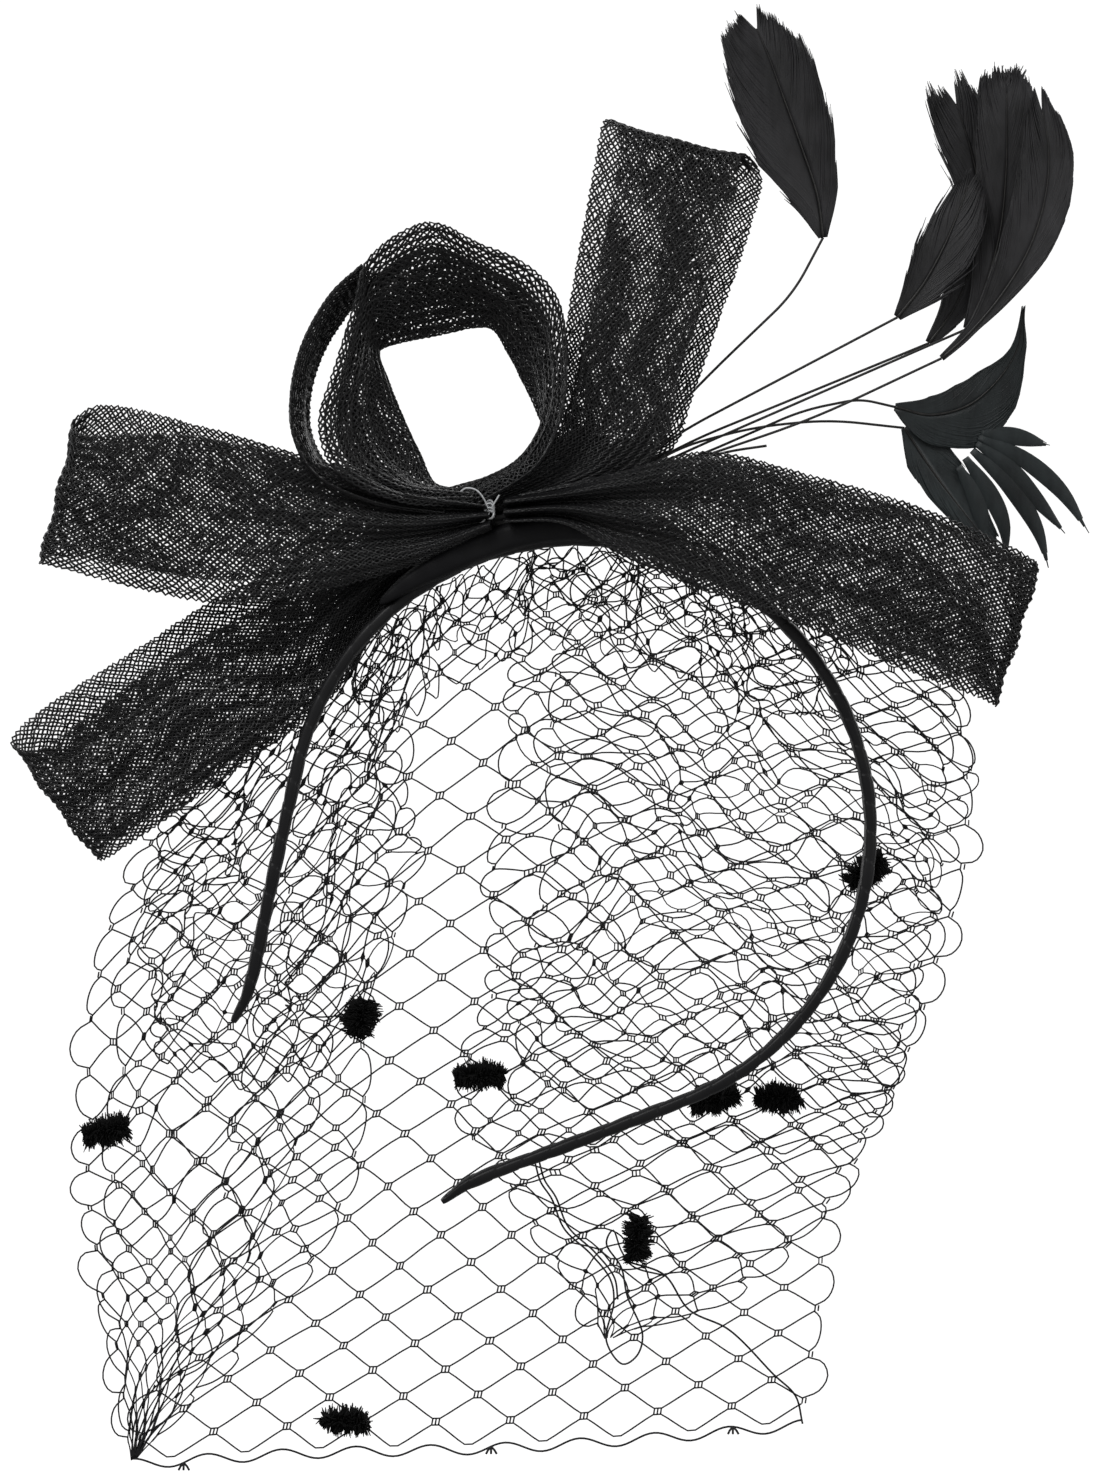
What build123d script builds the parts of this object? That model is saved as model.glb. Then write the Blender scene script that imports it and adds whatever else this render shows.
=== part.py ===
"""Fascinator headpiece: a satin-wrapped spring headband that carries a crinoline bow, feather sprays
and a dotted birdcage veil. Millimetres. +Z is up as displayed, the band lies in the XZ plane, and the
origin is the centre of the band's round inner wall. -Y is the side that the bow is seen from."""

import os
from math import cos, degrees, hypot, radians, sin, tan

from build123d import *

os.makedirs("parts", exist_ok=True)

# ---- headband -------------------------------------------------------------------------------------
head_radius = 63.9  # inner wall of the wrapped band
band_lean = 49.3  # direction of the band's crown from +X, degrees
band_thickness = 2.7  # over the satin wrap
band_width = 6.5  # over the satin wrap, along Y
core_thickness = 1.2
core_width = 5.0
core_clearance = 0.05
crown_half_angle = 90.0  # where each arm is hinged, from the crown's top
arc_half_angle = 118.2  # where the round part ends and the straight arm begins
arm_straight = 52.6
split_gap = 0.3  # between the crown and each arm
tip_length = 7.0
tip_kick = 14.0  # how far each tip turns outwards, degrees
tip_end_thickness = 1.3
tip_end_width = 4.6

# ---- felt base and bow centre ---------------------------------------------------------------------
pad_thickness = 3.8
pad_width = 14.0
pad_angles = (84.0, 131.0)  # from +X
pad_round = 1.2
centre_gap = 0.3  # clearance between pieces that lie on each other
centre_thickness = 6.8
centre_depth = 10.0
centre_angles = (92.0, 120.0)
thread_angles = (104.4, 107.6)
thread_size = 0.9
knot_radius = 1.5
knot_angle = 106.0
nylon_radius = 0.16

# X and Z of every piece of the bow and of the feathers are from its seat, the point of the base's outer
# face under the knot; Y is from the middle of the band.

# ---- crinoline loops: root, middle of the end crease, half widths there, and half depth ------------
braid = 0.9
crease_radius = 1.7
head_clearance = 0.3
loops = {
    "loop_upper_left": {
        "root": (-22.6, -1.5, 2.8), "tip": (-98.1, -4.0, 8.8),
        "near": 5.5, "far": 17.0, "bulge": 4.2,
    },
    "loop_lower_left": {
        "root": (-24.1, 10.0, -6.2), "tip": (-100.0, 11.5, -60.7),
        "near": 6.5, "far": 17.5, "bulge": 4.0,
    },
    "loop_upright": {
        "root": (14.4, 0.0, 12.9), "tip": (40.9, 0.0, 86.8),
        "near": 6.5, "far": 17.5, "bulge": 4.4,
    },
    "loop_right": {
        "root": (21.9, -10.2, 8.3), "tip": (116.2, -14.5, -23.8),
        "near": 8.5, "far": 17.0, "bulge": 4.4,
    },
}

# ---- centre curl ----------------------------------------------------------------------------------
curl_front = {"x": -12.6, "z": 38.3, "radius": 27.0, "y": -16.0}
curl_back = {"x": -7.6, "z": 27.3, "radius": 18.5, "y": 12.0}
curl_foot = (-15.6, 20.8)  # the curl is cut off through this point, above the bow's pinched centre
curl_foot_lean = 12.0
curl_right = 9.2  # and here, clear of the upright loop
arc_radius = 31.8
arc_angles = (147.0, 213.0)
arc_depth = 26.0

# ---- feathers -------------------------------------------------------------------------------------
quill_radius = 0.3
vane_thickness = 0.6
binding_length = 8.0
binding_height = 5.0
binding_end = (27.4, 11.3)  # X and Z where the quills leave it
binding_lean = 33.7
binding_margin = 0.8
patch_radius = 9.0
patch_rise = 3.5  # how far the patch's middle stands over the bow's middle
patch_thickness = 0.8
patch_gap = 0.5  # behind the bow's gathered middle
quills = {
    "quill_tall": {
        "route": [(27.7, 9.4, 12.7), (46.0, 10.2, 32.8), (67.6, 10.4, 53.5), (74.4, 10.5, 66.3)],
        "vane": [
            (74.4, 66.8), (78.0, 84.5), (71.0, 108.6), (57.3, 117.8), (50.4, 113.8), (54.1, 98.5),
            (60.9, 81.3),
        ],
    },
    "quill_fan_1": {
        "route": [(28.0, 11.2, 12.0), (42.2, 11.4, 22.4), (91.3, 12.0, 48.3)],
        "vane": [(91.6, 48.6), (103.4, 53.8), (109.9, 65.3), (107.2, 77.3), (98.4, 66.8)],
    },
    "quill_fan_2": {
        "route": [(28.3, 13.0, 11.4), (44.4, 13.6, 20.3), (98.7, 16.5, 42.7)],
        "vane": [
            (99.0, 43.1), (107.4, 54.3), (112.4, 78.3), (109.7, 100.9), (101.9, 101.3), (104.2, 82.3),
            (99.9, 63.3),
        ],
    },
    "quill_fan_3": {
        "route": [(28.5, 12.1, 10.9), (45.4, 12.5, 18.8), (107.2, 14.0, 45.8)],
        "vane": [
            (107.4, 46.2), (114.9, 62.3), (123.4, 88.3), (123.9, 102.3), (117.6, 104.8), (111.4, 90.3),
            (107.9, 68.3),
        ],
    },
    "quill_fan_4": {
        "route": [(28.7, 10.3, 10.5), (46.9, 10.2, 16.6), (71.9, 10.1, 25.1), (101.2, 10.0, 38.9)],
        "vane": [
            (101.4, 39.2), (111.9, 46.3), (125.9, 60.3), (131.3, 74.3), (128.8, 95.8), (123.7, 99.6),
            (116.9, 80.3), (110.4, 60.3),
        ],
    },
    "quill_low_1": {
        "route": [
            (28.8, 13.9, 10.3), (46.9, 16.2, 17.3), (70.1, 19.5, 27.6), (83.2, 21.5, 30.3),
            (91.3, 23.0, 28.5),
        ],
        "vane": [
            (91.7, 28.5), (105.4, 36.3), (120.5, 50.1), (123.2, 37.1), (114.9, 21.8), (110.6, 12.1),
            (100.4, 20.3),
        ],
    },
    "quill_low_2": {
        "route": [
            (28.6, 14.8, 10.6), (41.8, 17.5, 19.1), (59.1, 20.2, 23.8), (76.2, 22.8, 25.6),
            (93.5, 25.0, 23.8),
        ],
        "vane": [
            (93.8, 23.6), (103.4, 19.8), (116.4, 18.9), (136.5, -1.6), (128.4, -11.1), (119.9, -7.7),
            (112.9, -2.5), (103.4, 9.3),
        ],
    },
}
broken_quill = [(47.4, 6.2, 16.3), (53.9, 6.8, 17.9), (61.5, 7.4, 19.0)]

# ---- veil -----------------------------------------------------------------------------------------
net_thickness = 0.4
hinge_drop = 13.7  # from the top of the band's inner wall to the line that the veil lifts about
hinge_gap = 0.3
hinge_setback = 1.2  # how far behind the ruffle the front net hangs
ruffle_angles = (62.0, 131.0)
ruffle_thickness = 3.8
ruffle_gap = 0.75  # behind the band
ruffle_clearance = 0.2  # under the felt base
ruffle_depth = 10.0  # least height of the ruffle's ring
gather_inset = 1.8
gather_thread_radius = 0.35
stitch_angles = (70.0, 82.0, 94.0, 106.0, 118.0, 128.0)
stitch_size = 0.7
# X is from the band's middle, Z from the hinge line
panels = {
    "veil_front": {
        "behind": 0.0,
        "outline": [
            (-38.0, -0.3), (30.0, -0.3), (60.0, -10.2), (86.5, -22.2), (87.2, -57.0), (73.0, -102.0),
            (56.6, -133.5), (50.3, -184.6), (-62.7, -191.2), (-101.4, -193.4), (-107.0, -165.0),
            (-113.8, -117.8), (-113.0, -67.7), (-101.4, -60.7), (-76.6, -40.7),
        ],
    },
    "veil_left_fold": {
        "behind": 6.0,
        "outline": [
            (-40.0, -10.2), (-76.0, -45.2), (-108.0, -68.2), (-110.0, -117.2), (-96.0, -162.2),
            (-74.0, -148.2), (-62.0, -110.2), (-46.0, -70.2), (-36.0, -30.2),
        ],
    },
    "veil_right_fold": {
        "behind": 8.0,
        "outline": [
            (-16.0, -4.2), (30.0, -4.2), (60.0, -13.2), (83.0, -25.2), (83.5, -57.0), (70.0, -100.2),
            (53.0, -132.2), (18.0, -170.2), (4.0, -162.2), (-10.0, -128.2), (-22.0, -70.2),
            (-22.0, -30.2),
        ],
    },
}
hem_size = 0.7
hem_line = [(-101.4, -193.8), (-62.7, -191.8), (-18.0, -190.4), (20.0, -187.8), (50.3, -185.0)]
dot_length = 12.0
dot_radius = 4.0
dot_round = 2.2
dot_clearance = 0.6
dots = [  # x, z and turn from +X in degrees
    (-49.6, -93.0, 60.0), (-22.9, -106.1, 0.0), (-107.4, -118.6, 90.0), (-53.2, -184.2, 0.0),
    (12.9, -142.8, 90.0), (30.2, -111.5, 0.0), (44.9, -111.0, 0.0), (64.7, -59.7, 35.0),
]

# ---- worked out from the sizes above --------------------------------------------------------------
hinge_height = head_radius - hinge_drop
ruffle_front = band_width / 2 + ruffle_gap
ruffle_back = ruffle_front + ruffle_thickness
hinge_depth = ruffle_back + hinge_setback
band_radius = head_radius + band_thickness / 2
band_outer = head_radius + band_thickness
pad_outer = band_outer + pad_thickness
centre_inner = pad_outer + centre_gap
centre_outer = centre_inner + centre_thickness
band_plane = Plane(
    origin=(0, 0, 0),
    x_dir=(cos(radians(band_lean)), 0, sin(radians(band_lean))),
    z_dir=(0, -1, 0),
)


def facing(y):
    """The plane at depth y whose sketches read as seen from -Y, X to the right and Z up."""
    return Plane(origin=(0, y, 0), x_dir=(1, 0, 0), z_dir=(0, -1, 0))


def polar(radius, angle):
    return radius * cos(radians(angle)), radius * sin(radians(angle))


seat_x, seat_z = polar(pad_outer, knot_angle)
seat = Vector(seat_x, 0, seat_z)
ruffle_outer = band_outer - ruffle_clearance
gather_radius = ruffle_outer - gather_inset


def gentle_radii(route):
    """For each corner of a route, the largest arc that its two runs allow."""
    radii = []
    for before, corner, after in zip(route, route[1:], route[2:]):
        half_turn = radians((corner - before).get_angle(after - corner)) / 2
        radii.append(0.42 * min((corner - before).length, (after - corner).length) / tan(half_turn))
    return radii


def ring_sector(inner, outer, angles):
    """The part of a ring between two angles."""
    low, high = angles
    middle = (low + high) / 2
    with BuildSketch() as sector:
        with BuildLine():
            ThreePointArc(polar(inner, low), polar(inner, middle), polar(inner, high))
            ThreePointArc(polar(outer, low), polar(outer, middle), polar(outer, high))
            Line(polar(inner, low), polar(outer, low))
            Line(polar(inner, high), polar(outer, high))
        make_face()
    return sector.sketch


def arm_outline(thickness, side):
    """One arm of the band: the last of its round part and its straight part."""
    gap_angle = degrees(split_gap / band_outer)
    start = crown_half_angle + gap_angle
    middle = (start + arc_half_angle) / 2
    inner = band_radius - thickness / 2
    outer = band_radius + thickness / 2
    run_u = -arm_straight * sin(radians(arc_half_angle))
    run_v = arm_straight * cos(radians(arc_half_angle))
    ends = []
    with BuildSketch() as arm:
        with BuildLine():
            for radius in (inner, outer):
                corners = [polar(radius, angle) for angle in (start, middle, arc_half_angle)]
                low, mid, high = [(u, side * v) for u, v in corners]
                end = (high[0] + run_u, high[1] + side * run_v)
                ThreePointArc(low, mid, high)
                Line(high, end)
                ends.append((low, end))
            Line(ends[0][0], ends[1][0])
            Line(ends[0][1], ends[1][1])
        make_face()
    return arm.sketch


def loop_profile(reach, bulge, inset):
    """A folded ribbon seen along its width: closed at the crease, fullest past its middle."""
    root_half = 1.35 * braid - inset
    fold_radius = crease_radius - inset
    fold = reach - crease_radius
    start = 2 * inset
    upper = [
        (start, root_half), (0.3 * reach, 0.7 * bulge - inset),
        (0.65 * reach, bulge - inset), (fold, fold_radius),
    ]
    lower = [(x, -y) for x, y in upper]
    with BuildSketch() as profile:
        with BuildLine():
            Spline(*upper)
            ThreePointArc((fold, fold_radius), (fold + fold_radius, 0), (fold, -fold_radius))
            Spline(*lower)
            Line(upper[0], lower[0])
        make_face()
    return profile.sketch


def save(piece, name):
    piece.part.label = name
    export_step(piece.part, f"parts/{name}.step")


# ---- the band's crown, which is the fixed piece -----------------------------------------------------
crown_angles = (-crown_half_angle, crown_half_angle)
cavity = core_thickness / 2 + core_clearance

with BuildPart() as band_core_crown:
    with BuildSketch(band_plane):
        add(ring_sector(band_radius - core_thickness / 2, band_radius + core_thickness / 2, crown_angles))
    extrude(amount=core_width / 2, both=True)
save(band_core_crown, "band_core_crown")

with BuildPart() as band_wrap_crown:
    with BuildSketch(band_plane):
        add(ring_sector(head_radius, band_outer, crown_angles))
    extrude(amount=band_width / 2, both=True)
    with BuildSketch(band_plane):
        add(ring_sector(band_radius - cavity, band_radius + cavity, crown_angles))
    extrude(amount=core_width / 2 + core_clearance, both=True, mode=Mode.SUBTRACT)
save(band_wrap_crown, "band_wrap_crown")

# ---- the two arms and their tips ---------------------------------------------------------------------
for side_name, side in (("left", 1), ("right", -1)):
    with BuildPart() as band_core_arm:
        with BuildSketch(band_plane):
            add(arm_outline(core_thickness, side))
        extrude(amount=core_width / 2, both=True)
    save(band_core_arm, f"band_core_{side_name}")

    with BuildPart() as band_wrap_arm:
        with BuildSketch(band_plane):
            add(arm_outline(band_thickness, side))
        extrude(amount=band_width / 2, both=True)
        with BuildSketch(band_plane):
            add(arm_outline(2 * cavity, side))
        extrude(amount=core_width / 2 + core_clearance, both=True, mode=Mode.SUBTRACT)
    save(band_wrap_arm, f"band_wrap_{side_name}")

    arc_end_u, arc_end_v = polar(band_radius, arc_half_angle)
    heading = arc_half_angle + 90
    foot_u = arc_end_u + arm_straight * cos(radians(heading))
    foot_v = arc_end_v + arm_straight * sin(radians(heading))
    tip_heading = heading - tip_kick
    tip_u = foot_u + tip_length * cos(radians(tip_heading))
    tip_v = foot_v + tip_length * sin(radians(tip_heading))
    foot = band_plane.from_local_coords(Vector(foot_u, side * foot_v, 0))
    end = band_plane.from_local_coords(Vector(tip_u, side * tip_v, 0))
    arm_along = Vector(cos(radians(heading)), side * sin(radians(heading)), 0)
    foot_plane = Plane(origin=foot, x_dir=(0, 1, 0), z_dir=band_plane.from_local_coords(arm_along))
    with BuildPart() as tip_cap:
        with BuildSketch(foot_plane):
            Rectangle(band_width, band_thickness)
        with BuildSketch(Plane(origin=end, x_dir=(0, 1, 0), z_dir=end - foot)):
            Rectangle(tip_end_width, tip_end_thickness)
        loft()
    save(tip_cap, f"tip_cap_{side_name}")

# ---- felt base ---------------------------------------------------------------------------------------
with BuildPart() as base_pad:
    with BuildSketch(facing(0)):
        add(ring_sector(band_outer, pad_outer, pad_angles))
    extrude(amount=pad_width / 2, both=True)
    fillet(base_pad.edges().filter_by(GeomType.CIRCLE).group_by(SortBy.RADIUS)[-1], radius=pad_round)
save(base_pad, "base_pad")

# ---- gathered middle of the bow, with the thread that binds it and the nylon knot ----------------------
thread_groove = thread_size + core_clearance

with BuildPart() as bow_centre:
    with BuildSketch(facing(0)):
        add(ring_sector(centre_inner, centre_outer, centre_angles))
    extrude(amount=centre_depth / 2, both=True)
    fillet(bow_centre.edges().filter_by(GeomType.CIRCLE).group_by(SortBy.RADIUS)[-1], radius=2.0)
    groove_angles = (thread_angles[0] - 0.05, thread_angles[1] + 0.05)
    with BuildSketch(facing(0)):
        add(ring_sector(centre_inner - 1, centre_outer + 1, groove_angles))
    extrude(amount=centre_depth, both=True, mode=Mode.SUBTRACT)
    with BuildSketch(facing(0)):
        add(ring_sector(centre_inner + thread_groove, centre_outer - thread_groove, centre_angles))
    extrude(amount=centre_depth / 2 - thread_groove, both=True)
save(bow_centre, "bow_centre")

with BuildPart() as bow_thread:
    with BuildSketch(facing(0)):
        add(ring_sector(centre_inner, centre_outer, thread_angles))
    extrude(amount=centre_depth / 2, both=True)
    with BuildSketch(facing(0)):
        add(ring_sector(centre_inner + thread_size, centre_outer - thread_size, thread_angles))
    extrude(amount=centre_depth / 2 - thread_size, both=True, mode=Mode.SUBTRACT)
save(bow_thread, "bow_thread")

knot_x, knot_z = polar((centre_inner + centre_outer) / 2, knot_angle)
knot_y = -centre_depth / 2 - knot_radius - core_clearance

with BuildPart() as nylon_knot:
    with Locations((knot_x, knot_y, knot_z)):
        Sphere(knot_radius)
    with BuildLine() as long_tail:
        ThreePointArc(
            (knot_x, knot_y, knot_z),
            (knot_x - 1.6, knot_y - 1.5, knot_z + 3.6),
            (knot_x - 5.2, knot_y - 2, knot_z + 5.2),
        )
    with BuildSketch(Plane(origin=long_tail.line @ 0, z_dir=long_tail.line % 0)):
        Circle(nylon_radius)
    sweep(path=long_tail.line)
save(nylon_knot, "nylon_knot")

# ---- the four crinoline loops ----------------------------------------------------------------------
for name, loop in loops.items():
    root = seat + Vector(*loop["root"])
    tip = seat + Vector(*loop["tip"])
    reach = (tip - root).length
    along = (tip - root).normalized()
    upright = Vector(-along.Z, 0, along.X).normalized()
    profile_plane = Plane(origin=root, x_dir=along, z_dir=upright)
    face_plane = Plane(origin=root, x_dir=along, z_dir=along.cross(upright))
    bulge = loop["bulge"]
    with BuildPart() as ribbon_loop:
        for inset, how in ((0, Mode.ADD), (braid, Mode.SUBTRACT)):
            with BuildSketch(profile_plane):
                add(loop_profile(reach, bulge, inset))
            extrude(amount=2 * loop["far"], both=True, mode=how)
        with BuildSketch(face_plane):
            with BuildLine():
                Polyline(
                    (-1, -loop["near"]), (0.55 * reach, -0.9 * loop["far"]), (reach + 1, -loop["far"]),
                    (reach + 1, loop["far"]), (0.55 * reach, 0.9 * loop["far"]), (-1, loop["near"]),
                    close=True,
                )
            make_face()
        extrude(amount=3 * bulge, both=True, mode=Mode.INTERSECT)
        clear_radius = head_radius + head_clearance if name == "loop_right" else pad_outer + centre_gap
        with BuildSketch(facing(0)):
            Circle(clear_radius)
        extrude(amount=60, both=True, mode=Mode.SUBTRACT)
    save(ribbon_loop, name)

# ---- centre curl and the arc of ribbon outside it -------------------------------------------------------
with BuildPart() as centre_curl:
    for wall, how in ((0, Mode.ADD), (braid, Mode.SUBTRACT)):
        for rim in (curl_front, curl_back):
            with BuildSketch(facing(rim["y"])):
                with Locations((seat.X + rim["x"], seat.Z + rim["z"])):
                    Circle(rim["radius"] - wall)
        loft(mode=how)
    foot_x, foot_z = curl_foot
    foot_normal = (-sin(radians(curl_foot_lean)), 0, cos(radians(curl_foot_lean)))
    split(bisect_by=Plane(origin=seat + Vector(foot_x, 0, foot_z), z_dir=foot_normal), keep=Keep.TOP)
    split(bisect_by=Plane(origin=seat + Vector(curl_right, 0, 0), z_dir=(1, 0, 0)), keep=Keep.BOTTOM)
save(centre_curl, "centre_curl")

with BuildPart() as curl_arc:
    curl_middle = seat + Vector(curl_front["x"], 0, curl_front["z"])
    with BuildSketch(Plane(origin=curl_middle, x_dir=(1, 0, 0), z_dir=(0, -1, 0))):
        add(ring_sector(arc_radius - braid / 2, arc_radius + braid / 2, arc_angles))
    extrude(amount=arc_depth / 2, both=True)
save(curl_arc, "curl_arc")

# ---- feathers: felt patch, thread binding, quills and vanes --------------------------------------------
binding_along = Vector(cos(radians(binding_lean)), 0, sin(radians(binding_lean)))
root_depths = [quill["route"][0][1] for quill in quills.values()]
binding_low = min(root_depths) - binding_margin
binding_high = max(root_depths) + binding_margin
binding_middle = seat + Vector(binding_end[0], (binding_low + binding_high) / 2, binding_end[1])

with BuildPart() as feather_binding:
    with BuildSketch(Plane(origin=binding_middle, x_dir=(0, 1, 0), z_dir=-binding_along)):
        SlotOverall(binding_high - binding_low, binding_height)
    extrude(amount=binding_length)
save(feather_binding, "feather_binding")

with BuildPart() as feather_patch:
    with BuildSketch(facing(centre_depth / 2 + patch_gap + patch_thickness)):
        with Locations((0, centre_outer + patch_rise)):
            Circle(patch_radius)
    extrude(amount=patch_thickness)
save(feather_patch, "feather_patch")

for name, feather in quills.items():
    route = [seat + Vector(*point) for point in feather["route"]]
    with BuildPart() as quill:
        with BuildLine() as path:
            FilletPolyline(*route, radius=gentle_radii(route))
        with BuildSketch(Plane(origin=path.line @ 0, z_dir=path.line % 0)):
            Circle(quill_radius)
        sweep(path=path.line)
    save(quill, name)

    depth = feather["route"][-1][1]
    with BuildPart() as vane:
        with BuildSketch(facing(depth + vane_thickness / 2)):
            with BuildLine():
                Polyline(*[(seat.X + x, seat.Z + z) for x, z in feather["vane"]], close=True)
            make_face()
        extrude(amount=vane_thickness)
    save(vane, name.replace("quill", "vane"))

with BuildPart() as quill_broken:
    route = [seat + Vector(*point) for point in broken_quill]
    with BuildLine() as stub:
        FilletPolyline(*route, radius=gentle_radii(route))
    with BuildSketch(Plane(origin=stub.line @ 0, z_dir=stub.line % 0)):
        Circle(quill_radius)
    sweep(path=stub.line)
save(quill_broken, "quill_broken")

# ---- veil: the ruffle sewn to the band, then the panels, hem and dots that lift together ----------------
with BuildPart() as veil_ruffle:
    with BuildSketch(facing(ruffle_back)):
        add(ring_sector(hinge_height - ruffle_depth, ruffle_outer, ruffle_angles))
        with Locations((0, hinge_height + hinge_gap - 60)):
            Rectangle(200, 120, mode=Mode.SUBTRACT)
    extrude(amount=ruffle_back - ruffle_front)
save(veil_ruffle, "veil_ruffle")

with BuildPart() as veil_gather_thread:
    with BuildLine() as gather:
        low, high = ruffle_angles[0] + 1, ruffle_angles[1] - 1
        y = ruffle_back + gather_thread_radius + core_clearance
        points = [polar(gather_radius, angle) for angle in (low, (low + high) / 2, high)]
        ThreePointArc(*[(x, y, z) for x, z in points])
    with BuildSketch(Plane(origin=gather.line @ 0, z_dir=gather.line % 0)):
        Circle(gather_thread_radius)
    sweep(path=gather.line)
save(veil_gather_thread, "veil_gather_thread")

with BuildPart() as veil_stitches:
    stitch_front = band_width / 2 + core_clearance
    for angle in stitch_angles:
        x, z = polar(band_radius, angle)
        y = (stitch_front + ruffle_front - core_clearance) / 2
        with Locations(Location((x, y, z), (0, -angle, 0))):
            Box(band_thickness - 2 * core_clearance, 2 * (ruffle_front - y - core_clearance), stitch_size)
save(veil_stitches, "veil_stitches")

for name, panel in panels.items():
    with BuildPart() as net:
        with BuildSketch(facing(hinge_depth + panel["behind"] + net_thickness / 2)):
            with BuildLine():
                Polyline(*[(x, hinge_height + z) for x, z in panel["outline"]], close=True)
            make_face()
            if panel["behind"] < dot_radius + net_thickness:
                with Locations([(x, hinge_height + z) for x, z, turn in dots]):
                    Circle(hypot(dot_length / 2, dot_radius) + dot_clearance, mode=Mode.SUBTRACT)
        extrude(amount=net_thickness)
    save(net, name)

with BuildPart() as veil_hem:
    with BuildSketch(facing(hinge_depth + hem_size / 2)):
        with BuildLine():
            Polyline(*[(x, hinge_height + z) for x, z in hem_line])
        trace(line_width=hem_size)
    extrude(amount=hem_size)
save(veil_hem, "veil_hem")

for number, (x, z, turn) in enumerate(dots, start=1):
    along = Vector(cos(radians(turn)), 0, sin(radians(turn)))
    middle = Vector(x, hinge_depth, hinge_height + z)
    with BuildPart() as veil_dot:
        with BuildSketch(Plane(origin=middle - along * (dot_length / 2), z_dir=along)):
            Circle(dot_radius)
        extrude(amount=dot_length)
        fillet(veil_dot.edges().filter_by(GeomType.CIRCLE), radius=dot_round)
    save(veil_dot, f"veil_dot_{number}")
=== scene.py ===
import math

import bmesh
import bpy
import numpy as np
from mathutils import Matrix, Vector


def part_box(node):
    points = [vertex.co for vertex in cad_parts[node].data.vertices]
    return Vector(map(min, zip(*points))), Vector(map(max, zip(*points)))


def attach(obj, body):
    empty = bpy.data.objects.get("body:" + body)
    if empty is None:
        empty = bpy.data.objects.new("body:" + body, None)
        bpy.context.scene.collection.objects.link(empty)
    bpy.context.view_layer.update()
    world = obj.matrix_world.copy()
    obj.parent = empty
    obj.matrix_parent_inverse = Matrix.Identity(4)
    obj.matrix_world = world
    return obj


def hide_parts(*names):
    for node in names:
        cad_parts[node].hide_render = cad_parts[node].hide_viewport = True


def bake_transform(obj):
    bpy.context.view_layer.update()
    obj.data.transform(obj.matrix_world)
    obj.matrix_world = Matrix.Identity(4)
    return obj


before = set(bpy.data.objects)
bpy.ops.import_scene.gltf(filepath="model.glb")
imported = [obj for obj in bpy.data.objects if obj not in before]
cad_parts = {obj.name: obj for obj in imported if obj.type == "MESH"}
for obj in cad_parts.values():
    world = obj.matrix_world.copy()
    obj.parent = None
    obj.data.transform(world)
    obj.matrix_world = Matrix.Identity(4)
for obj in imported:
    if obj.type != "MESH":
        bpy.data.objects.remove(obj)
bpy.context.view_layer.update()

# every size and place below is in millimetres, in the part's own frame: +X right, +Z up, -Y towards the front
mm = 0.001


def nodeBox(node):
    low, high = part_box(node)
    return np.array(low) / mm, np.array(high) / mm


def smoothLine(points, samples):
    # a smooth curve through the given points, at even steps along its length
    p = np.array(points, float)
    p = np.vstack([2 * p[0] - p[1], p, 2 * p[-1] - p[-2]])
    knots = np.concatenate([[0.0], np.cumsum(np.sqrt(np.linalg.norm(np.diff(p, axis=0), axis=1) + 1e-9))])
    where = np.linspace(knots[1], knots[-2], 12 * samples)
    i = np.clip(np.searchsorted(knots, where, side="right") - 1, 1, len(p) - 3)
    k0, k1, k2, k3 = (knots[i + j][:, None] for j in (-1, 0, 1, 2))
    p0, p1, p2, p3 = (p[i + j] for j in (-1, 0, 1, 2))
    w = where[:, None]
    a1 = ((k1 - w) * p0 + (w - k0) * p1) / (k1 - k0)
    a2 = ((k2 - w) * p1 + (w - k1) * p2) / (k2 - k1)
    a3 = ((k3 - w) * p2 + (w - k2) * p3) / (k3 - k2)
    b1 = ((k2 - w) * a1 + (w - k0) * a2) / (k2 - k0)
    b2 = ((k3 - w) * a2 + (w - k1) * a3) / (k3 - k1)
    fine = ((k2 - w) * b1 + (w - k1) * b2) / (k2 - k1)
    return evenly(fine, samples)


def evenly(points, samples):
    # the same line, with its points at even steps along its length
    along = np.concatenate([[0.0], np.cumsum(np.linalg.norm(np.diff(points, axis=0), axis=1))])
    where = np.linspace(0.0, along[-1], samples)
    return np.stack([np.interp(where, along, points[:, i]) for i in range(points.shape[1])], axis=1)


def lengthOf(points):
    return float(np.linalg.norm(np.diff(points, axis=0), axis=1).sum())


def threads(name, lines, radius, sides=4):
    # round threads along the given lines, as one mesh; a fourth column thins or thickens them
    data = bpy.data.curves.new(name, "CURVE")
    data.dimensions = "3D"
    data.bevel_depth = radius * mm
    data.bevel_resolution = (sides - 4) // 2
    data.use_fill_caps = True
    for line in lines:
        spline = data.splines.new("POLY")
        spline.points.add(len(line) - 1)
        places = np.ones((len(line), 4))
        places[:, :3] = line[:, :3] * mm
        spline.points.foreach_set("co", places.ravel())
        if line.shape[1] > 3:
            spline.points.foreach_set("radius", np.ascontiguousarray(line[:, 3]))
    shell = bpy.data.objects.new(name + "Line", data)
    bpy.context.scene.collection.objects.link(shell)
    graph = bpy.context.evaluated_depsgraph_get()
    mesh = bpy.data.meshes.new_from_object(shell.evaluated_get(graph))
    mesh.name = name
    bpy.data.objects.remove(shell)
    bpy.data.curves.remove(data)
    work = bmesh.new()
    work.from_mesh(mesh)
    bmesh.ops.remove_doubles(work, verts=work.verts, dist=1e-8)  # joins each thread's end caps to it
    work.to_mesh(mesh)
    work.free()
    piece = bpy.data.objects.new(name, mesh)
    bpy.context.scene.collection.objects.link(piece)
    return piece


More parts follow.
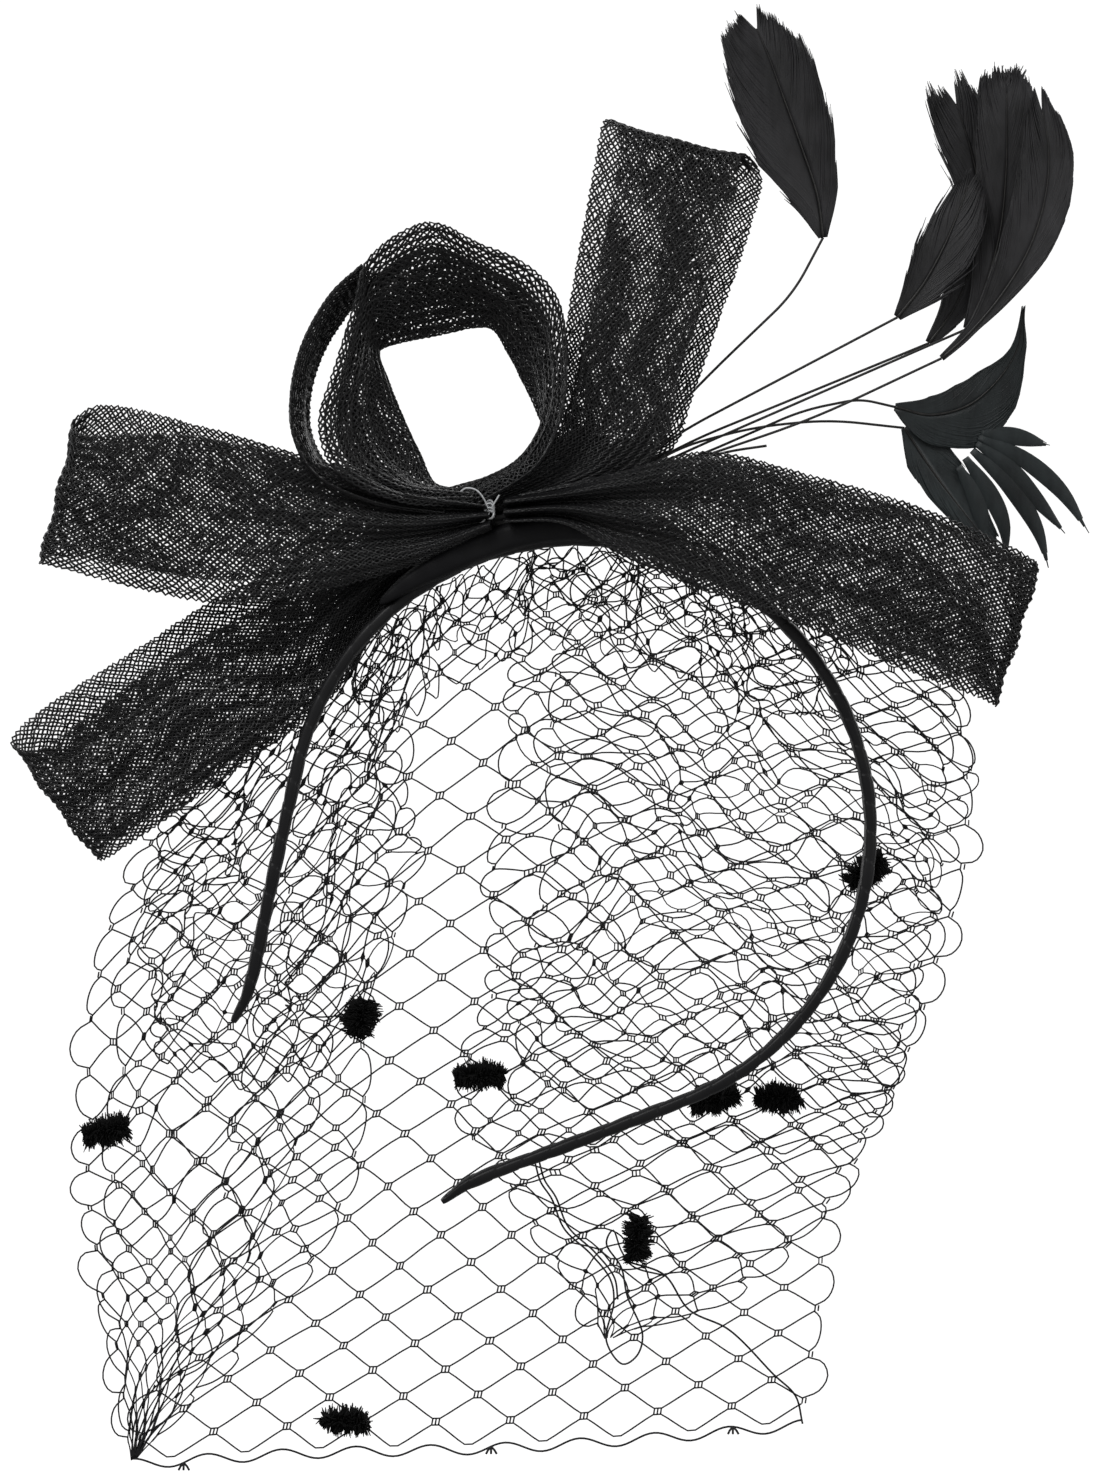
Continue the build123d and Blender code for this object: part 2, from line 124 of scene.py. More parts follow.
def shapedGrid(name, across, along, place, joinAcross=False, capEnds=False):
    # a grid whose points are put in place by a formula of two shares, from 0 to 1
    work = bmesh.new()
    bmesh.ops.create_grid(work, x_segments=across, y_segments=along, size=0.5)
    work.verts.ensure_lookup_table()
    shares = np.array([vertex.co[:2] for vertex in work.verts]) + 0.5
    for vertex, point in zip(work.verts, place(shares[:, 0], shares[:, 1]) * mm):
        vertex.co = point
    if joinAcross:
        bmesh.ops.remove_doubles(work, verts=work.verts, dist=1e-7)
    if capEnds:
        bmesh.ops.holes_fill(work, edges=[edge for edge in work.edges if edge.is_boundary])
    bmesh.ops.recalc_face_normals(work, faces=work.faces)
    return fromBmesh(name, work)


def fromBmesh(name, work):
    mesh = bpy.data.meshes.new(name)
    work.to_mesh(mesh)
    work.free()
    for polygon in mesh.polygons:
        polygon.use_smooth = True
    piece = bpy.data.objects.new(name, mesh)
    bpy.context.scene.collection.objects.link(piece)
    return piece


def fit(piece, material, body=None, nodes=()):
    piece.data.materials.clear()
    piece.data.materials.append(material)
    if body:
        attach(piece, body)
    if nodes:
        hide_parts(*nodes)
    return piece


# materials
class Wire:
    # one node's output; arithmetic on it adds Math nodes
    def __init__(self, finish, socket):
        self.finish = finish
        self.socket = socket

    def maths(self, operation, first, second):
        return self.finish.node("ShaderNodeMath", {"operation": operation}, {0: first, 1: second})

    def __add__(self, other):
        return self.maths("ADD", self, other)

    def __radd__(self, other):
        return self.maths("ADD", other, self)

    def __sub__(self, other):
        return self.maths("SUBTRACT", self, other)

    def __rsub__(self, other):
        return self.maths("SUBTRACT", other, self)

    def __mul__(self, other):
        return self.maths("MULTIPLY", self, other)

    def __rmul__(self, other):
        return self.maths("MULTIPLY", other, self)


class Finish:
    # one material and the nodes in it
    def __init__(self, name):
        self.material = bpy.data.materials.new(name)
        self.material.use_nodes = True
        self.tree = self.material.node_tree
        self.tree.nodes.clear()

    def node(self, kind, settings=None, sockets=None, output=0):
        made = self.tree.nodes.new(kind)
        made.location = (200 * (len(self.tree.nodes) % 6), -240 * (len(self.tree.nodes) // 6))
        for key, value in (settings or {}).items():
            if key == "stops":
                ramp = made.color_ramp
                while len(ramp.elements) < len(value):
                    ramp.elements.new(0.5)
                for element, (place, colour) in zip(ramp.elements, value):
                    element.position = place
                    element.color = (*colour, 1.0)
            else:
                setattr(made, key, value)
        for key, value in (sockets or {}).items():
            if isinstance(value, Wire):
                self.tree.links.new(value.socket, made.inputs[key])
            else:
                made.inputs[key].default_value = value
        return Wire(self, None if output is None else made.outputs[output])

    def place(self):
        return self.node("ShaderNodeTexCoord", output="Object")

    def noise(self, scale, detail=3.0, stretch=(1.0, 1.0, 1.0)):
        spread = self.node("ShaderNodeMapping", {}, {"Vector": self.place(), "Scale": stretch})
        sockets = {"Vector": spread, "Scale": scale, "Detail": detail}
        return self.node("ShaderNodeTexNoise", {}, sockets, "Fac")

    def shade(self, factor, dark, light):
        stops = [(0.3, dark), (0.7, light)]
        return self.node("ShaderNodeValToRGB", {"stops": stops}, {"Fac": factor}, "Color")

    def bump(self, height, strength, depth):
        sockets = {"Height": height, "Strength": strength, "Distance": depth}
        return self.node("ShaderNodeBump", {}, sockets, "Normal")

    def surface(self, **sockets):
        named = {key.replace("_", " "): value for key, value in sockets.items()}
        shader = self.node("ShaderNodeBsdfPrincipled", {}, named)
        self.node("ShaderNodeOutputMaterial", {}, {"Surface": shader}, output=None)
        return self.material


def braidNylon():
    made = Finish("braidNylon")
    patches = made.noise(60, 2.0)
    fine = made.noise(1400, 2.0)
    return made.surface(
        Base_Color=made.shade(patches, (0.006, 0.006, 0.0065), (0.013, 0.013, 0.014)),
        Roughness=0.27 + 0.16 * fine,
        Specular_IOR_Level=0.4,
        Normal=made.bump(fine, 0.15, 0.00005),
    )


def netThread():
    made = Finish("netThread")
    fibre = made.noise(2600, 2.0)
    return made.surface(
        Base_Color=made.shade(fibre, (0.007, 0.007, 0.008), (0.02, 0.02, 0.022)),
        Roughness=0.5 + 0.2 * fibre,
        Specular_IOR_Level=0.3,
        Normal=made.bump(fibre, 0.3, 0.00005),
    )


def wrapSatin():
    made = Finish("wrapSatin")
    weave = made.noise(2200, 3.0, (1.0, 0.25, 1.0))
    broad = made.noise(90, 2.0)
    return made.surface(
        Base_Color=made.shade(broad, (0.004, 0.004, 0.005), (0.009, 0.009, 0.01)),
        Roughness=0.36 + 0.2 * weave,
        Specular_IOR_Level=0.32,
        Normal=made.bump(weave, 0.25, 0.00006),
    )


def padFelt():
    made = Finish("padFelt")
    nap = made.noise(1500, 5.0)
    broad = made.noise(70, 2.0)
    return made.surface(
        Base_Color=made.shade(broad, (0.003, 0.003, 0.004), (0.008, 0.008, 0.009)),
        Roughness=0.5 + 0.2 * nap,
        Specular_IOR_Level=0.22,
        Normal=made.bump(nap, 0.35, 0.00012),
    )


def featherBarb(name, dark, light):
    made = Finish(name)
    sheenStreaks = made.noise(620, 4.0, (1.0, 1.0, 0.3))
    broad = made.noise(75, 2.0)
    return made.surface(
        # random dark tone in the barbs; its lighter streaks are painted sheen
        Base_Color=made.shade(0.65 * broad + 0.35 * sheenStreaks, dark, light),
        Roughness=0.36 + 0.25 * sheenStreaks,
        Specular_IOR_Level=0.5,
    )


def quillHorn():
    made = Finish("quillHorn")
    grain = made.noise(700, 3.0)
    return made.surface(
        Base_Color=made.shade(grain, (0.008, 0.008, 0.008), (0.03, 0.028, 0.026)),
        Roughness=0.32 + 0.2 * grain,
    )


def chenillePile():
    made = Finish("chenillePile")
    pile = made.noise(900, 3.0)
    return made.surface(
        Base_Color=made.shade(pile, (0.003, 0.003, 0.003), (0.009, 0.009, 0.009)),
        Roughness=0.75 + 0.2 * pile,
        Specular_IOR_Level=0.2,
    )


def clearNylon():
    made = Finish("clearNylon")
    hazeAndGlint = made.noise(800, 2.0)
    return made.surface(
        # the near-white base colour on the clear nylon is painted glint and reflection, with a little random
        # haze
        Base_Color=made.shade(hazeAndGlint, (0.8, 0.82, 0.84), (0.95, 0.96, 0.97)),
        Roughness=0.08 + 0.15 * hazeAndGlint,
        Transmission_Weight=0.2,
        IOR=1.5,
    )


def studioPaper():
    made = Finish("studioPaper")
    grain = made.noise(40, 2.0)
    made.material.cycles.emission_sampling = "NONE"
    return made.surface(
        Base_Color=made.shade(grain, (0.5, 0.5, 0.5), (0.55, 0.55, 0.55)),
        Roughness=0.9,
        Emission_Color=(1.0, 1.0, 1.0, 1.0),
        Emission_Strength=0.9,
    )


braid = braidNylon()
net = netThread()
satin = wrapSatin()
felt = padFelt()
# the light tone of each feather finish is painted sheen
blackFeather = featherBarb("blackFeather", (0.003, 0.003, 0.0035), (0.034, 0.033, 0.036))
tealFeather = featherBarb("tealFeather", (0.005, 0.007, 0.008), (0.034, 0.044, 0.046))
horn = quillHorn()
pile = chenillePile()
clear = clearNylon()
print("materials made")

# the band: satin ribbon wound round a flat spring
band = {
    "radius": 65.25,  # to the middle of the wrap
    "lean": 49.3,  # direction of the crown's top from +X, degrees
    "roundUntil": 118.2,  # degrees from the top to where an arm runs straight
    "straight": 52.6,
    "tip": 7.0,
    "tipTurn": 14.0,
    "halfThick": 1.3,
    "halfWide": 3.25,
    "ribbonPitch": 6.5,
    "ribbonEdge": 0.16,  # how far each turn of the ribbon stands over the last
    "hingeBlend": 9.0,
}


def turned(angle):
    return np.array([math.cos(math.radians(angle)), math.sin(math.radians(angle))])


def bandLine(side):
    # from the crown's top along one arm to the end of its tip, as X and Z
    arc = np.arange(0.0, band["roundUntil"] + 0.1, 2.0)
    line = [band["radius"] * turned(band["lean"] + side * angle) for angle in arc]
    heading = band["lean"] + side * (band["roundUntil"] + 90)
    foot = line[-1] + band["straight"] * turned(heading)
    end = foot + band["tip"] * turned(heading - side * band["tipTurn"])
    return smoothLine(line + [line[-1] + 0.5 * (foot - line[-1]), foot, end], 900)


def bandHalf(name, side, tipSplit):
    line = bandLine(side)
    steps = np.gradient(line, axis=0)
    steps /= np.linalg.norm(steps, axis=1)[:, None]
    outward = np.stack([side * steps[:, 1], -side * steps[:, 0]], axis=1)
    total = lengthOf(line)

    def place(roundShare, along):
        s = along * total
        index = np.clip((along * (len(line) - 1)).astype(int), 0, len(line) - 1)
        turn = 2 * np.pi * roundShare
        wind = (s / band["ribbonPitch"] + side * roundShare) % 1.0
        swell = band["ribbonEdge"] * (1 - wind) + 0.1 * np.sin(np.pi * wind) + 0.06 * np.sin(s / 3.1 + side)
        taper = np.clip((total - s) / (band["tip"] + 2), 0, 1) ** 0.6
        thick = (band["halfThick"] + swell) * (0.45 + 0.55 * taper)
        wide = (band["halfWide"] + swell) * (0.62 + 0.38 * taper)
        c, q = np.cos(turn), np.sin(turn)
        off = np.sign(c) * np.abs(c) ** 0.6 * thick
        y = np.sign(q) * np.abs(q) ** 0.6 * wide
        y = y + tipSplit * np.sign(y) * np.clip(1 - (total - s) / 4, 0, 1) * 0.8
        x = line[index, 0] + outward[index, 0] * off
        z = line[index, 1] + outward[index, 1] * off
        return np.stack([x, y, z], axis=1)

    return shapedGrid(name, 36, 760, place, joinAcross=True, capEnds=True)


for sideName, side, tipSplit in (("left", 1, 0.0), ("right", -1, 0.6)):
    half = bandHalf(f"bandWrap{sideName.capitalize()}", side, tipSplit)
    fit(half, satin)
    if side == 1:
        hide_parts("band_wrap_crown", "band_wrap_left", "tip_cap_left", "band_core_left")
    else:
        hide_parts("band_wrap_right", "tip_cap_right", "band_core_right", "band_core_crown")
    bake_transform(half)
print("band wrapped")

# the padded base sewn along the band's top
pad = {"inner": 64.3, "outer": 70.9, "from": 84.0, "to": 131.5, "halfWide": 7.2, "corner": 0.55}


def padPlace(roundShare, along):
    angle = np.radians(pad["from"] + (pad["to"] - pad["from"]) * along)
    ends = np.clip(np.minimum(along / 0.1, (1 - along) / 0.3), 0, 1) ** 0.6
    turn = 2 * np.pi * roundShare
    c, s = np.cos(turn), np.sin(turn)
    middle, half = (pad["inner"] + pad["outer"]) / 2, (pad["outer"] - pad["inner"]) / 2
    dimple = 0.12 * np.sin(along * 64) * (np.abs(s) > 0.7)
    reach = np.sign(c) * np.abs(c) ** pad["corner"] * half * (0.12 + 0.88 * ends) + 0.35 * np.sin(along * 7)
    y = np.sign(s) * np.abs(s) ** pad["corner"] * (pad["halfWide"] - dimple) * (0.5 + 0.5 * ends)
    radius = middle + reach
    return np.stack([radius * np.cos(angle), y, radius * np.sin(angle)], axis=1)


base = shapedGrid("basePad", 40, 150, padPlace, joinAcross=True, capEnds=True)
fit(base, felt, "crown", ["base_pad"])
print("base padded")

# crinoline: a braided ribbon of nylon threads, folded and gathered into a bow
crinoline = {
    "ends": 60,  # threads in the braid
    "width": 36.0,
    "repeat": 86.0,  # length in which a thread crosses the ribbon and comes back
    "thread": 0.258,  # radius
    "lift": 0.19,  # how far a thread rises over another
    "drift": 0.1,  # how far a crossing wanders slowly along the ribbon
    "scatter": 0.19,  # how far each crossing is out of place by itself
}

# each ribbon: pairs of points on its two edges, from one end to the other
ribbons = {
    "loopUpperLeft": {
        "edges": [
            ((-21, -8.6, 72.6), (-20, -8.6, 67.4)), ((-40, -7.8, 75.6), (-34, -7.2, 60.4)),
            ((-62, -7.2, 83.0), (-57, -7.0, 53.8)), ((-88, -7.2, 88.6), (-81, -7.0, 50.6)),
            ((-112.6, -6.0, 89.2), (-119.8, -6.0, 59.4)), ((-113.6, -3.6, 91.6), (-121.6, -3.4, 59.8)),
            ((-109.6, -1.2, 95.2), (-118.0, -1.2, 61.4)), ((-84, 0.2, 90.6), (-80, 0.0, 56.0)),
            ((-52, 0.6, 81.2), (-50, 0.0, 61.0)), ((-27, -1.6, 75.4), (-24, -1.6, 69.6)),
        ],
        "pleats": (2.5, 1.7), "node": "loop_upper_left",
    },
    "loopLowerLeft": {
        "edges": [
            ((-26, 5.2, 68.5), (-31, 5.2, 61.5)), ((-48, 6.4, 62.4), (-42.4, 6.8, 50.4)),
            ((-70, 7.2, 51.6), (-55.6, 7.4, 30.4)), ((-97, 7.8, 36.4), (-76, 7.8, 14.6)),
            ((-124.6, 8.6, 17.6), (-106.6, 8.6, -6.4)), ((-128.8, 10.4, 19.6), (-109.2, 10.4, -7.2)),
            ((-126.8, 12.6, 23.4), (-107.4, 12.6, -4.2)), ((-100, 13.8, 41.4), (-80, 13.8, 14.6)),
            ((-78, 13.0, 54.6), (-60, 13.0, 31.0)), ((-52, 11.0, 62.6), (-45, 11.0, 49.0)),
            ((-30, 8.0, 68.0), (-34, 8.0, 60.6)),
        ],
        "pleats": (2.5, 1.6), "node": "loop_lower_left",
    },
    "loopUpright": {
        "edges": [
            ((-25, -3.6, 74.8), (-18, -3.6, 71.4)), ((-17.0, -4.0, 79.6), (-4.0, -4.0, 74.8)),
            ((-9.6, -4.4, 87.6), (10.0, -4.4, 79.0)), ((-6.0, -4.4, 97.6), (19.2, -4.4, 87.6)),
            ((-4.0, -4.4, 109), (22.6, -4.4, 103)), ((-1.0, -4.0, 127), (28.8, -4.0, 122)),
            ((3.0, -3.0, 149), (34.8, -3.0, 142)), ((4.6, -2.0, 158), (36.2, -2.0, 151)),
            ((5.6, 0.0, 159.8), (38.2, 0.0, 151.2)), ((8.8, 2.2, 156.8), (40.8, 2.2, 147.2)),
            ((6.6, 3.6, 140), (38.6, 3.6, 136)), ((1.8, 4.0, 117), (31.8, 4.0, 116)),
            ((-1.6, 4.0, 100), (25.4, 4.0, 97.6)), ((-5.0, 3.6, 90.0), (20.6, 3.6, 85.6)),
            ((-13, 2.8, 81.0), (4, 2.8, 78.0)), ((-23, 0.6, 75.0), (-16, 0.6, 72.6)),
        ],
        "pleats": (2.0, 0.8), "node": "loop_upright",
    },
    "loopRight": {
        "edges": [
            ((-17, -8.8, 74.6), (-17, -8.8, 69.0)), ((-4, -10.4, 76.4), (-4, -10.4, 68.6)),
            ((12, -12.2, 80.6), (9, -12.2, 61.4)), ((28, -14.0, 83.4), (27, -14.0, 53.6)),
            ((55, -15.8, 77.2), (50, -15.8, 45.4)), ((80, -16.6, 69.0), (72, -16.6, 35.8)),
            ((99.6, -16.4, 60.4), (90.4, -16.4, 28.8)), ((102.4, -14.4, 59.2), (92.4, -14.4, 27.6)),
            ((100.6, -12.2, 61.0), (91.4, -12.2, 30.4)), ((78, -9.6, 71.6), (72, -9.6, 39.6)),
            ((52, -8.4, 79.4), (50, -8.4, 48.4)), ((28, -7.6, 84.8), (27, -7.6, 56.4)),
            ((8, -7.0, 80.0), (7, -7.0, 65.0)), ((-14, -5.8, 75.0), (-14, -5.8, 71.0)),
        ],
        "pleats": (2.5, 1.6), "node": "loop_right",
    },
    "curlOuter": {
        "edges": [
            ((-24, -8.0, 73.0), (-22, -1.0, 74.0)), ((-40.6, -11, 73.6), (-31.6, 4, 76.2)),
            ((-55.0, -13, 80.6), (-36.6, 8, 86.0)), ((-58.4, -14, 91.0), (-40.6, 9, 94.6)),
            ((-54.4, -14, 104.6), (-43.6, 10, 101.6)), ((-49.9, -14, 118.6), (-45.8, 10, 106.8)),
            ((-47.6, -14, 127.0), (-44.8, 10, 108.8)), ((-34.2, -14, 135.6), (-32.6, 10, 111.6)),
            ((-23.0, -14, 130.8), (-20.6, 10, 113.6)), ((-12.2, -14, 126.0), (-16.6, 10, 108.4)),
            ((-5.6, -14, 118.8), (-13.4, 10, 102.2)), ((-3.6, -13, 107.6), (-9.8, 9, 94.6)),
            ((-4.4, -12, 94.6), (-8.2, 8, 88.8)), ((-9.6, -10, 82.6), (-14.0, 5, 82.2)),
            ((-24.0, -8, 72.8), (-30.6, 0, 76.0)),
        ],
        "pleats": (2.5, 0.8), "node": "centre_curl",
    },
    "curlInner": {
        "edges": [
            ((-23, -6.0, 73.6), (-22, -0.5, 75.0)), ((-41.0, -7, 76.6), (-33.0, 8, 77.6)),
            ((-51.8, -8, 83.6), (-37.8, 11, 87.2)), ((-54.2, -9, 92.2), (-41.6, 13, 95.6)),
            ((-51.2, -9, 104.0), (-44.6, 14, 102.4)), ((-47.8, -9, 117.4), (-46.2, 14, 107.8)),
            ((-45.8, -9, 123.0), (-45.0, 14, 109.6)), ((-33.8, -9, 130.2), (-32.4, 14, 112.6)),
            ((-23.8, -9, 126.6), (-20.6, 14, 114.4)), ((-14.2, -9, 122.0), (-16.4, 14, 109.0)),
            ((-8.2, -9, 115.2), (-13.2, 14, 102.6)), ((-6.2, -8, 104.6), (-9.6, 13, 95.0)),
            ((-7.2, -7, 92.8), (-8.6, 12, 89.0)), ((-13.6, -6, 81.6), (-15.0, 8, 82.0)),
            ((-24.4, -5, 73.6), (-31.0, 1, 76.2)),
        ],
        "pleats": (2.5, 0.8), "node": "centre_curl",
    },
    "curlArc": {
        "edges": [
            ((-48.6, -11, 126.4), (-48.2, 12, 122.6)), ((-55.6, -12, 119.8), (-53.2, 12, 116.6)),
            ((-62.0, -13, 108.6), (-58.9, 13, 107.2)), ((-64.6, -13, 97.4), (-61.6, 13, 96.8)),
            ((-64.2, -13, 88.6), (-61.0, 13, 89.2)), ((-59.6, -12, 79.8), (-56.8, 11, 81.8)),
            ((-47.0, -10, 73.6), (-46.0, 7, 76.0)), ((-30.0, -8, 70.8), (-30.0, 2, 73.0)),
        ],
        "pleats": (1.5, 0.5), "node": "curl_arc",
    },
}


def ribbonSurface(ribbon, samples=420):
    # the two edge lines at the same shares of the ribbon's length, and the way that its pleats stand
    left = [pair[0] for pair in ribbon["edges"]]
    right = [pair[1] for pair in ribbon["edges"]]
    both = smoothLine(np.hstack([left, right]), samples * 3)
    middle = (both[:, :3] + both[:, 3:]) / 2
    along = np.concatenate([[0.0], np.cumsum(np.linalg.norm(np.diff(middle, axis=0), axis=1))])
    where = np.linspace(0, along[-1], samples)
    both = np.stack([np.interp(where, along, both[:, i]) for i in range(6)], axis=1)
    run = np.gradient((both[:, :3] + both[:, 3:]) / 2, axis=0)
    wide = both[:, 3:] - both[:, :3]
    normal = np.cross(run, wide)
    normal /= np.linalg.norm(normal, axis=1)[:, None] + 1e-9
    return along[-1], where, both, normal


def braidedRibbon(name, ribbon, seed):
    total, where, both, normal = ribbonSurface(ribbon)
    count, repeat = crinoline["ends"], crinoline["repeat"]
    pleatCount, pleatDepth = ribbon["pleats"]
    random = np.random.default_rng(seed)
    crossing = repeat / (2 * count)
    steps = np.arange(int(total / crossing) + 1)
    lines = []
    for end in range(count):
        # a crossing lies where the thread's phase is a whole or half step
        phase = (steps + 2 * end) / (2 * count)
        sweep = 2 * np.abs(2 * (phase % 1.0) - 1) - 1
        s = steps * crossing
        scattered = random.normal(0, crinoline["scatter"], len(s))
        pull = crinoline["drift"] * np.sin(s / 9 + end * 1.7 + seed) + scattered
        s = np.clip(s + pull, 0, total)
        edgePair = np.stack([np.interp(s, where, both[:, i]) for i in range(6)], axis=1)
        out = np.stack([np.interp(s, where, normal[:, i]) for i in range(3)], axis=1)
        across = (1 - sweep * (1 - np.abs(random.normal(0, 0.008, len(s))))) / 2
        point = edgePair[:, :3] * (1 - across[:, None]) + edgePair[:, 3:] * across[:, None]
        opened = np.linalg.norm(edgePair[:, 3:] - edgePair[:, :3], axis=1)
        narrow = 1 - np.clip(opened / crinoline["width"], 0, 1)
        pleat = np.sin(np.pi * (pleatCount * sweep + 0.5 * np.sin(s / 40 + seed)))
        fold = pleatDepth * 1.6 * narrow ** 0.8 * pleat
        belly = 0.5 * np.sin(s / 17 + seed) * (1 - sweep ** 2)
        isOver = ((steps + 2 * end + (phase % 1.0 > 0.5)) // 2) % 2 == 0
        over = np.where(isOver, 1.0, -1.0) * crinoline["lift"]
        lines.append(point + out * (fold + belly + over)[:, None])
    piece = threads(name, lines, crinoline["thread"])
    return piece, total


for seed, (name, ribbon) in enumerate(ribbons.items()):
    piece, total = braidedRibbon(name, ribbon, seed)
    fit(piece, braid, "crown", [ribbon["node"]])
    print("ribbon", name, "length", round(total, 1), "triangles", 2 * len(piece.data.polygons))

# the bow's gathered middle, its thread and the clear nylon knot
bowLow, bowHigh = nodeBox("bow_centre")
knotLow, knotHigh = nodeBox("nylon_knot")
knotAt = np.array([knotHigh[0] - 1.5, knotLow[1] + 1.6, knotLow[2] + 1.5])
bowMiddle = (bowLow + bowHigh) / 2


def gatherPlace(roundShare, along):
    # a fluted lump, narrowest under the thread
    turn = 2 * np.pi * roundShare
    waist = 0.62 + 0.38 * np.abs(2 * along - 1) ** 1.2
    close = np.sin(np.pi * np.clip(along, 0.02, 0.98)) ** 0.25
    flute = 1 + 0.09 * np.sin(11 * turn + 3 * along)
    half = (bowHigh - bowLow) / 2
    x = bowMiddle[0] + (2 * along - 1) * half[0]
    y = bowMiddle[1] + np.cos(turn) * half[1] * waist * close * flute
    z = bowMiddle[2] - 0.6 + np.sin(turn) * (half[2] - 0.4) * waist * close * flute
    z = z + 4.0 * (0.5 - along) * -0.9
    return np.stack([x, y, z], axis=1)


gathered = shapedGrid("bowGather", 88, 60, gatherPlace, joinAcross=True, capEnds=True)
fit(gathered, braid, "crown", ["bow_centre"])

bowThread = {"turns": 9, "pitch": 0.32, "halfDeep": 4.4, "halfHigh": 3.1, "thread": 0.2}
windings = []
for turnNumber in range(bowThread["turns"]):
    angle = np.linspace(0, 2 * np.pi, 40)
    lean = bowThread["pitch"] * turnNumber - 1.4
    windings.append(np.stack([
        bowMiddle[0] + 0.3 + lean + 0.3 * np.sin(angle + turnNumber),
        bowThread["halfDeep"] * np.cos(angle),
        bowMiddle[2] + bowThread["halfHigh"] * np.sin(angle),
    ], axis=1))
bound = threads("bowThread", windings, bowThread["thread"], sides=6)
fit(bound, net, "crown", ["bow_thread"])

knot = {"turns": 9, "size": 1.75, "nylon": 0.19}  # the last two are radii
coil = []
for loopNumber in range(knot["turns"]):
    angle = np.linspace(0, 2 * np.pi, 26)
    tilt = loopNumber * 0.7
    ring = np.stack([
        knot["size"] * 0.62 * np.cos(angle), 0.9 * np.sin(angle) * math.cos(tilt),
        knot["size"] * 1.3 * np.sin(angle) * (0.65 + 0.3 * math.sin(tilt)) + 0.7 * math.sin(tilt),
    ], axis=1)
    coil.append(ring + knotAt)
coil.append(smoothLine([
    knotAt, knotAt + [-1.3, -1.2, 3.0], knotAt + [-3.0, -1.8, 4.9], knotAt + [-5.2, -1.6, 5.3],
    knotAt + [-6.4, -1.0, 4.6],
], 40))
coil.append(smoothLine([knotAt, knotAt + [0.9, -0.8, 1.6], knotAt + [2.2, -1.0, 3.8]], 20))
coil.append(smoothLine([knotAt, knotAt + [-0.8, -0.6, -1.4], knotAt + [-2.0, -0.4, -2.6]], 16))
nylon = threads("nylonKnot", coil, knot["nylon"], sides=8)
fit(nylon, clear, "crown", ["nylon_knot"])
print("bow tied")

# feathers
# spine: base to tip in X and Z; widths to the left and right of it, base to tip; slant: how far along the
# spine a barb reaches, as a share of it; fall: how much sooner the barbs end at the left and right edges
feathers = {
    "tall": {
        "node": "vane_tall", "body": "spray_tall",
        "slant": 0.62, "fray": 0.035, "barbs": 300, "fall": (0.07, 0.2),
        "spine": [(55.0, 134.0), (53.6, 143.6), (50.0, 154.5), (46.2, 165.0), (42.4, 175.5), (39.6, 182.0)],
        "left": [0.8, 6.2, 9.9, 10.8, 9.9, 8.0], "right": [0.8, 4.6, 7.0, 8.3, 8.4, 7.4], "bow": -5.0,
    },
    "fan_1": {
        "node": "vane_fan_1", "body": "spray_fan",
        "slant": 0.8, "fray": 0.07, "barbs": 84, "fall": (0.1, 0.1),
        "spine": [(71.9, 116.0), (77.8, 123.6), (82.4, 132.0), (85.8, 140.0), (88.0, 146.0)],
        "left": [0.7, 3.6, 5.2, 4.4, 2.4], "right": [0.7, 3.8, 6.4, 6.0, 3.6], "bow": -3.0,
    },
    "fan_2": {
        "node": "vane_fan_2", "body": "spray_fan",
        "slant": 0.6, "fray": 0.07, "barbs": 210, "fall": (0.04, 0.05),
        "spine": [(79.3, 110.4), (85.4, 119.0), (89.6, 131.0), (90.8, 143.0), (89.2, 153.0), (86.6, 161.5),
                  (85.2, 165.6)],
        "left": [0.7, 2.6, 4.8, 4.4, 4.8, 6.2, 5.6], "right": [0.7, 3.0, 6.0, 7.0, 7.0, 6.0, 5.0], "bow": 3.0,
    },
    "fan_3": {
        "node": "vane_fan_3", "body": "spray_fan",
        "slant": 0.6, "fray": 0.03, "barbs": 270, "fall": (0.03, 0.05),
        "spine": [(87.8, 113.5), (91.6, 122.0), (95.2, 135.0), (96.7, 150.0), (96.8, 162.0), (96.8, 168.0)],
        "left": [0.7, 3.2, 5.2, 6.4, 6.7, 6.3], "right": [0.7, 4.0, 5.6, 6.2, 6.0, 5.4], "bow": -2.0,
        "tuft": (97.2, 170.0),
    },
    "fan_4": {
        "node": "vane_fan_4", "body": "spray_fan",
        "slant": 0.66, "fray": 0.012, "barbs": 300, "fall": (0.09, 0.12),
        "spine": [(81.8, 106.6), (87.2, 111.4), (94.8, 120.2), (101.4, 131.0), (105.2, 143.0), (106.0, 154.0),
                  (104.4, 163.4)],
        "left": [0.5, 1.6, 4.6, 6.8, 7.4, 6.6, 3.6], "right": [0.5, 0.9, 2.6, 4.6, 5.7, 5.5, 3.2],
        "bow": -4.0,
    },
    "low_1": {
        "node": "vane_low_1", "body": "spray_low",
        "slant": 0.7, "fray": 0.015, "barbs": 260, "fall": (0.0, 0.0),
        "spine": [(71.9, 96.2), (80.0, 94.4), (89.0, 96.8), (96.4, 103.6), (100.0, 110.0), (100.8, 116.0)],
        "left": [0.6, 4.2, 5.4, 4.4, 1.6, 0.4], "right": [0.6, 6.6, 9.6, 7.0, 2.4, 0.5],
        "bow": 3.0, "teal": True,
    },
    "low_2": {
        "node": "vane_low_2", "body": "spray_low",
        "slant": 0.7, "fray": 0.03, "barbs": 190, "fall": (0.05, 0.05),
        "spine": [(74.1, 91.5), (79.0, 84.0), (84.0, 77.0), (89.0, 70.6), (92.6, 66.0)],
        "left": [0.6, 6.0, 6.0, 5.0, 3.0], "right": [0.6, 4.0, 4.0, 3.0, 2.0], "bow": 3.0, "teal": True,
    },
}
